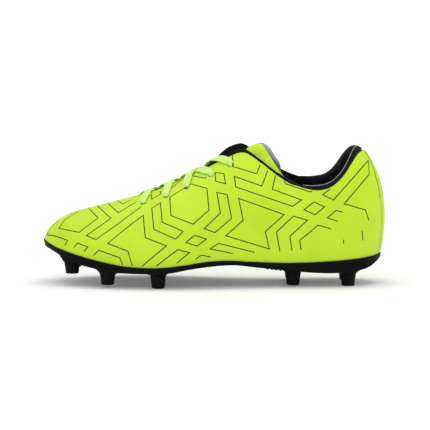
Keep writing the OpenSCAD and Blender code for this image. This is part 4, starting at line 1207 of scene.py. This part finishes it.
# ------------------------------------------------------------------ outsole
PLATE = [[-150, 34], [-141, 31], [-131, 27], [-126, 24], [-111, 18.4], [-102, 16.6], [-82, 13], [-60, 12.5], [-37, 13], [-22, 16],
         [-12, 17.5], [7, 19.4], [20, 19.2], [27, 18], [37, 16.7], [47, 15.6], [57, 14.4], [65, 14], [75, 12.6], [85, 12],
         [100, 11.5], [111, 12.2], [121, 13.2], [126, 14.2], [131, 15.8], [136, 19.6], [146, 28]]
FORE = [(-119, -19.5), (-89, -32.5), (-47, -37.5), (-119, 24), (-89, 35), (-47, 36)]
HEELS = [(65, -22.5), (111, -20), (65, 20), (111, 20)]
TIPS = [[-119, 10.2], [-89, 2.4], [-47, 0], [65, 1], [111, 0]]


def under(x):
    return soft_look(x, PLATE, 6.0)


def boss_foot(x):
    return float(under(x)) - BOSS_H + 1


def waist(x):
    return smooth(-40, -15, x) * (1 - smooth(35, 60, x))


def spine(s):
    k = np.clip(fold(s), 1.5, 14.5)
    return (face(UPPER, k, 0) + face(UPPER, 32 - k, 0)) / 2


def bars(x, y):
    """Height of the raised ribs on the underside"""
    segs = []
    F = FORE
    for a, b in ((0, 1), (1, 2), (3, 4), (4, 5)):
        segs.append((F[a], F[b], 2.0))
    segs += [(F[0], (-104, 3), 1.7), (F[3], (-104, 3), 1.7), ((-104, 3), (-80, 2), 1.7), (F[1], (-80, 2), 1.7), (F[4], (-80, 2), 1.7),
             ((-80, 2), (-58, 0), 1.7), (F[2], (-58, 0), 1.7), (F[5], (-58, 0), 1.7)]
    segs += [((-40, -16), (48, -11), 1.8), ((-40, 14), (48, 11), 1.8), ((-32, 0), (40, 0), 1.4)]
    segs += [(HEELS[0], HEELS[1], 2.0), (HEELS[2], HEELS[3], 2.0), (HEELS[0], (88, 0), 1.7), (HEELS[2], (88, 0), 1.7), (HEELS[1], (88, 0), 1.7), (HEELS[3], (88, 0), 1.7)]
    h = np.zeros_like(x)
    for (x0, y0), (x1, y1), w in segs:
        dx, dy = x1 - x0, y1 - y0
        k = np.clip(((x - x0) * dx + (y - y0) * dy) / (dx * dx + dy * dy), 0, 1)
        r = np.hypot(x - x0 - k * dx, y - y0 - k * dy)
        h = np.maximum(h, smooth(w + 0.9, w - 0.3, r))
    return h


def rim_top(s):
    return soft_look(fold(s), [[0, 0.13], [0.6, 0.11], [1.2, 0.078], [2, 0.06], [3, 0.044], [3.8, 0.03], [5, 0.026], [5.8, 0.028], [6.5, 0.034], [7.2, 0.028], [8, 0.018], [10.5, 0.018], [11.3, 0.024], [12.3, 0.031], [13.5, 0.029], [14.5, 0.022], [16, 0.018]], 0.25)


def rim_out(s):
    return RIM_T * (0.5 + 0.5 * smooth(0.5, 2.5, fold(s)) * (1 - smooth(13.8, 15.4, fold(s))))


def flare(x, y, z):
    """The underside swells down to meet each stud"""
    for sx, sy in FORE + HEELS:
        r = np.hypot(x - SHIFT[0] - sx, y - SHIFT[1] - sy)
        k = np.clip((r - STUD_TOP_D / 2 - 0.4) / 4.4, 0, 1)
        w = (1 - k) ** 2.4
        z = np.minimum(z, z * (1 - w) + (boss_foot(sx) + 0.45) * w)
    return z


def plate():
    C = 420
    s = np.arange(C) * 32 / C
    col = lambda t, d: at(UPPER, s, np.full(C, t), np.full(C, d))
    # lip and cup that hold the upper, from inside to outside
    lip = [(0.0, -0.13), (0.02, -0.13), (0.045, -0.12), (0.056, -0.12), (0.0615, -0.22), (0.0645, -0.5), (0.065, -0.85),
           (0.0635, -1.15), (0.059, -1.42), (0.050, -1.62), (0.038, -1.74), (0.024, -1.80), (0.012, -1.82)]
    rt_, ro_ = rim_top(s) / 0.065, rim_out(s) / RIM_T
    lipP = [at(UPPER, s, t * rt_, -0.12 + (d + 0.12) * ro_) for t, d in lip]
    lipP[0] = lipP[0] - np.array([0, 0, 0.12])
    sp = spine(s)
    zf = lambda r: face(UPPER, s, 0)[:, 2] * (1 - r) + sp[:, 2] * r
    b0 = at(UPPER, s, np.full(C, 0.01), np.zeros(C))
    topP = []
    for r in (1.0, 0.75, 0.5, 0.3, 0.15, 0.06):
        p = b0 + (sp - b0) * r
        topP.append(np.stack([p[:, 0], p[:, 1], zf(r) - 0.15], 1))
    b = at(UPPER, s, np.zeros(C), -0.12 - (RIM_T - 0.12) * ro_)
    zb = flare(b[:, 0], b[:, 1], np.minimum(b[:, 2] - 1, under(b[:, 0]) + 1.2))
    wallP = [np.stack([b[:, 0], b[:, 1], b[:, 2] * (1 - k) + zb * k], 1) for k in (0.25, 0.5, 0.75, 0.92)]
    bl = at(UPPER, s, np.full(C, 0.01), -0.12 - (RIM_T - 0.12) * ro_)
    botP = []
    rr = np.concatenate([[0.004, 0.012, 0.025, 0.045], np.linspace(0.07, 1, 44)])
    for r in rr:
        p = bl + (sp - bl) * r
        x, y = p[:, 0], p[:, 1]
        off = np.interp(r, [0, 0.06, 0.3, 0.7, 1], [0.9, 0, -0.1, -1.2, -1.5])
        if r < 0.06:
            z = zb + (flare(x, y, under(x)) - zb) * math.sin(min(1, r / 0.05) * math.pi / 2)
        else:
            z = under(x) + off * waist(x)
        z = flare(x, y, z - 0.9 * bars(x, y) * smooth(0.06, 0.12, r))
        botP.append(np.stack([x, y, z], 1))
    G = np.stack(topP + lipP + wallP + botP, 1)     # C, R, 3
    R = G.shape[1]
    c, r = np.arange(C)[:, None], np.arange(R - 1)[None]
    c2 = (c + 1) % C
    q = lambda *p: np.stack([x.ravel() for x in np.broadcast_arrays(*p)], 1)
    F = q(c * R + r, c * R + r + 1, c2 * R + r + 1, c2 * R + r)
    # the two middle lines close on themselves
    lo, hi = math.ceil(1.5 * C / 32), math.floor(14.5 * C / 32)
    def end(k):
        m = k if k <= C // 2 else C - k
        return max(lo, min(hi, m))
    for k in range(C):
        e = end(k)
        for row in (0, R - 1):
            G[k, row] = 0.5 * (G[e, row] + G[(C - e) % C, row]) if k != e else G[k, row]
    for k in range(C):
        e = end(k)
        for row in (0, R - 1):
            G[k, row] = G[e, row]
    o = build("outsole_moulding", G.reshape(-1, 3), F, [TPU], angle=None)
    weld(o, dist=3e-6, angle=None)
    return o


def revolve(V, F, centre, prof, n=44):
    """Adds a closed solid of revolution; prof runs from the axis below to the axis above as [r, z]"""
    base = len(V)
    rings = prof[1:-1]
    V.append(np.array([centre[0], centre[1], prof[0][1]], float))
    for r, z in rings:
        for j in range(n):
            a = j * 2 * math.pi / n
            V.append(np.array([centre[0] + r * math.cos(a), centre[1] + r * math.sin(a), z]))
    V.append(np.array([centre[0], centre[1], prof[-1][1]], float))
    top = len(V) - 1
    for j in range(n):
        k = (j + 1) % n
        F.append((base, base + 1 + k, base + 1 + j))
        for i in range(len(rings) - 1):
            F.append((base + 1 + i * n + j, base + 1 + i * n + k, base + 1 + (i + 1) * n + k, base + 1 + (i + 1) * n + j))
        F.append((base + 1 + (len(rings) - 1) * n + j, base + 1 + (len(rings) - 1) * n + k, top))


def join_bool(o, V, F, op="UNION"):
    cut = build("tool", np.array(V), F, [TPU], angle=None)
    weld(cut, dist=1e-8, angle=None)
    mod = o.modifiers.new("b", "BOOLEAN")
    mod.operation, mod.object, mod.solver = op, cut, "EXACT"
    bake(o)
    bpy.data.objects.remove(cut, do_unlink=True)
    return o


sole = plate()
V, F = [], []
for x, y in FORE + HEELS:
    z0 = boss_foot(x)
    r0 = STUD_TOP_D / 2
    prof = [(0, z0)] + [(r0 - 0.12, z0), (r0 - 0.03, z0 + 0.1)]
    for k in np.linspace(0.08, 1, 9):
        prof.append((r0 + 1.2 * k ** 2.3, z0 + 0.12 + (BOSS_H - 1.4) * k))
    prof += [(r0 + 1.2, z0 + BOSS_H - 1.1), (0, z0 + BOSS_H - 1.1)]
    revolve(V, F, (x + SHIFT[0], y + SHIFT[1]), prof)
join_bool(sole, V, F)
V, F = [], []
for yc in (-28.5, 23.5):
    for k in range(5):
        x = 43 + 3.6 * k
        z = float(under(x)) - 1.0
        a = math.radians(8 if yc < 0 else -8)
        ca, sa = math.cos(a), math.sin(a)
        base = len(V)
        outline = [(-0.9, -4.5), (0.9, -4.5), (0.9, 4.5), (-0.9, 4.5)]
        for zz, k_ in ((z + 0.0, 0.62), (z + 0.35, 0.9), (z + 2.2, 1.15)):
            for ox, oy in outline:
                ox, oy = ox * k_, oy * (1 - (1 - k_) * 0.15)
                V.append(np.array([x + SHIFT[0] + ox * ca - oy * sa, yc + SHIFT[1] + ox * sa + oy * ca, zz]))
        F.append((base + 3, base + 2, base + 1, base))
        for lv in (0, 4):
            for j in range(4):
                i2 = (j + 1) % 4
                F.append((base + lv + j, base + lv + i2, base + lv + 4 + i2, base + lv + 4 + j))
        F.append((base + 8, base + 9, base + 10, base + 11))
join_bool(sole, V, F)
sole.data.polygons.foreach_set("use_smooth", np.ones(len(sole.data.polygons), bool))
sole.data.set_sharp_from_angle(angle=math.radians(38))
keep(sole, nodes=["outsole_plate"])


def studs(name, spots):
    V, F = [], []
    for x, y in spots:
        z = float(look(x, TIPS))
        top = boss_foot(x)
        h = top - z
        rt, rb = STUD_TIP_D / 2, STUD_TOP_D / 2
        prof = [(0, z + 0.35), (rt - 3.2, z + 0.35), (rt - 2.7, z + 0.28), (rt - 2.3, z + 0.06), (rt - 1.9, z), (rt - 1.2, z)]
        for a in np.linspace(0.15, 1, 6):
            a = a * math.pi / 2
            prof.append((rt - 1.2 + 1.2 * math.sin(a), z + 1.2 * (1 - math.cos(a))))
        for k in np.linspace(0.15, 1, 10):
            zz = z + 1.2 + (h - 1.2 - 0.18) * k
            prof.append((rt + (rb - rt) * (0.75 * k + 0.25 * k ** 4), zz))
        prof += [(rb - 0.03, top - 0.04), (rb - 0.3, top), (0, top)]
        revolve(V, F, (x + SHIFT[0], y + SHIFT[1]), prof, 56)
    o = build(name, np.array(V), F, [TPU_STUD], angle=None)
    weld(o, dist=1e-8, angle=42)
    return o


keep(studs("forefoot_studs", FORE), nodes=["studs_forefoot"])
keep(studs("heel_studs", HEELS), nodes=["studs_heel"])


# ------------------------------------------------ insole board and sockliner
def cup(s, r):
    return 3.2 * (1 - smooth(0, 0.45, r)) * smooth(10, 13, 16 - np.abs(s - 16)) + 0.8 * (1 - smooth(0, 0.3, r))


def sheet_piece(name, inset, z0, z1, mats, C=300, rows=22, texture=None, round_=0.35):
    s = np.arange(C) * 32 / C
    r = np.concatenate([[0, 0.006, 0.015], np.linspace(0.03, 1, rows)])
    sp = spine(s)
    b = at(UPPER, s, np.full(C, 0.01), np.full(C, inset))
    edge_k = np.interp(r, [0, 0.006, 0.015], [1, 0.35, 0])
    lo_, hi_ = math.ceil(1.5 * C / 32), math.floor(14.5 * C / 32)
    def sheet(zfn, sgn):
        G = np.zeros((C, len(r), 3))
        for i, rr in enumerate(r):
            p = b + (sp - b) * rr
            zz = face(UPPER, s, 0)[:, 2] * (1 - rr) + sp[:, 2] * rr
            G[:, i, 0], G[:, i, 1] = p[:, 0], p[:, 1]
            G[:, i, 2] = zz + zfn(s, np.full(C, rr)) - sgn * round_ * edge_k[i]
            if texture is not None and sgn > 0:
                G[:, i, 2] += texture(p[:, 0], p[:, 1]) * smooth(0.05, 0.15, rr)
        for k in range(C):
            m = k if k <= C // 2 else C - k
            G[k, -1] = G[max(lo_, min(hi_, m)), -1]
        return G
    return shell(name, sheet(z1, 1), sheet(z0, -1), mats, wrap=True, merge=True, in_id=min(1, len(mats) - 1), angle=50)


def flat_uv(o):
    me = o.data
    idx = np.zeros(len(me.loops), np.int32)
    me.loops.foreach_get("vertex_index", idx)
    co = np.zeros(len(me.vertices) * 3, np.float32)
    me.vertices.foreach_get("co", co)
    co = co.reshape(-1, 3)[:, :2] * 1000
    me.uv_layers["mm"].data.foreach_set("uv", co[idx].ravel())
    return o


keep(sheet_piece("insole_fibreboard", IN_FOOT + 0.4, lambda s, r: 0.1 + 0 * r, lambda s, r: 1.9 + 0 * r, [BOARD], 200, 12, round_=0.2), nodes=["insole_board"])


def quilt(x, y):
    """Shallow pressed channels across the forefoot and a ring at the heel"""
    ch = -0.35 * np.exp(-((((x + 60) / 9.0 + 0.03 * y) % 1.0 - 0.5) / 0.09) ** 2) * smooth(-100, -92, x) * smooth(-20, -28, x)
    rad = np.hypot((x - 90) / 1.35, y)
    ch = ch - 0.35 * np.exp(-((rad - 15) / 0.8) ** 2) - 0.3 * np.exp(-((rad - 11) / 0.8) ** 2)
    return ch


sock = sheet_piece("sockliner_foam_bed", IN_FOOT + 1.8, lambda s, r: 2.2 + 0 * r, lambda s, r: 2.2 + SOCK_T + cup(s, r), [SOCK_FOAM], 260, 20, texture=quilt)
keep(flat_uv(sock), "sockliner", ["sockliner_foam"])
cov = sheet_piece("sockliner_top_cloth", IN_FOOT + 1.8, lambda s, r: 2.25 + SOCK_T + cup(s, r), lambda s, r: 2.25 + SOCK_T + cup(s, r) + COVER_T, [SOCK_TOP],
                  300, 40, texture=quilt)
keep(flat_uv(cov), "sockliner", ["sockliner_cover"])


# ------------------------------------------------------------------ stage
def m_floor():
    m = Mat("studio_floor", (0.86, 0.86, 0.86, 1), 0.9, Specular_IOR_Level=0.1)
    m.color(m.mix(m.noise(3, 2), (0.85, 0.85, 0.85, 1), (0.87, 0.87, 0.87, 1)))
    # the floor glows: painted light, weaker from 0.12 m out to 0.5 m around the shoe so the shoe's shadow stays dark
    m.b.inputs["Emission Color"].default_value = (1, 1, 1, 1)
    x, y, z = m.xyz()
    r = m.math("SQRT", m.math("ADD", m.math("MULTIPLY", x, x), m.math("MULTIPLY", m.math("MULTIPLY", y, y), 1.2)))
    m.put(m.b.inputs["Emission Strength"], m.span(r, 0.12, 0.5, 0.13, 0.5, "SMOOTHSTEP"))
    return m.m


me = bpy.data.meshes.new("floor")
me.from_pydata([(-15, -8, -0.0001), (15, -8, -0.0001), (15, 22, -0.0001), (-15, 22, -0.0001)], [], [(0, 1, 2, 3)])
me.materials.append(m_floor())
floor = bpy.data.objects.new("floor", me)
bpy.context.scene.collection.objects.link(floor)

scene = bpy.context.scene
scene.view_settings.view_transform = "Standard"
scene.view_settings.look = "None"
world = bpy.data.worlds.new("studio")
scene.world = world
world.use_nodes = True
bg = world.node_tree.nodes["Background"]
bg.inputs[0].default_value, bg.inputs[1].default_value = (1, 1, 1, 1), 0.74


def area(name, loc, to, size, power, size_y=None):
    L = bpy.data.lights.new(name, "AREA")
    L.shape, L.size, L.size_y, L.energy = "RECTANGLE", size, size_y or size, power
    o = bpy.data.objects.new(name, L)
    bpy.context.scene.collection.objects.link(o)
    o.location = loc
    o.rotation_mode = "QUATERNION"
    o.rotation_quaternion = (Vector(to) - Vector(loc)).to_track_quat("-Z", "Y")
    return o


area("key_softbox", (-0.5, -1.5, 1.5), (0, 0, 0.05), 1.3, 5.5)
area("fill_softbox", (1.3, -1.2, 0.7), (0, 0, 0.05), 1.0, 1.2)
area("top_softbox", (0, 0.1, 1.7), (0, 0, 0), 1.5, 9, 0.9)

cam_d = bpy.data.cameras.new("camera")
cam_d.sensor_width, cam_d.lens = 36.0, 219.4
cam_d.clip_start, cam_d.clip_end = 0.01, 100
cam = bpy.data.objects.new("camera", cam_d)
scene.collection.objects.link(cam)
el = math.radians(6)
target = Vector((0.00065, 0, 0.057))
cam.location = target + 2.2 * Vector((0, -math.cos(el), math.sin(el)))
cam.rotation_mode = "QUATERNION"
cam.rotation_quaternion = (target - cam.location).to_track_quat("-Z", "Y")
scene.camera = cam
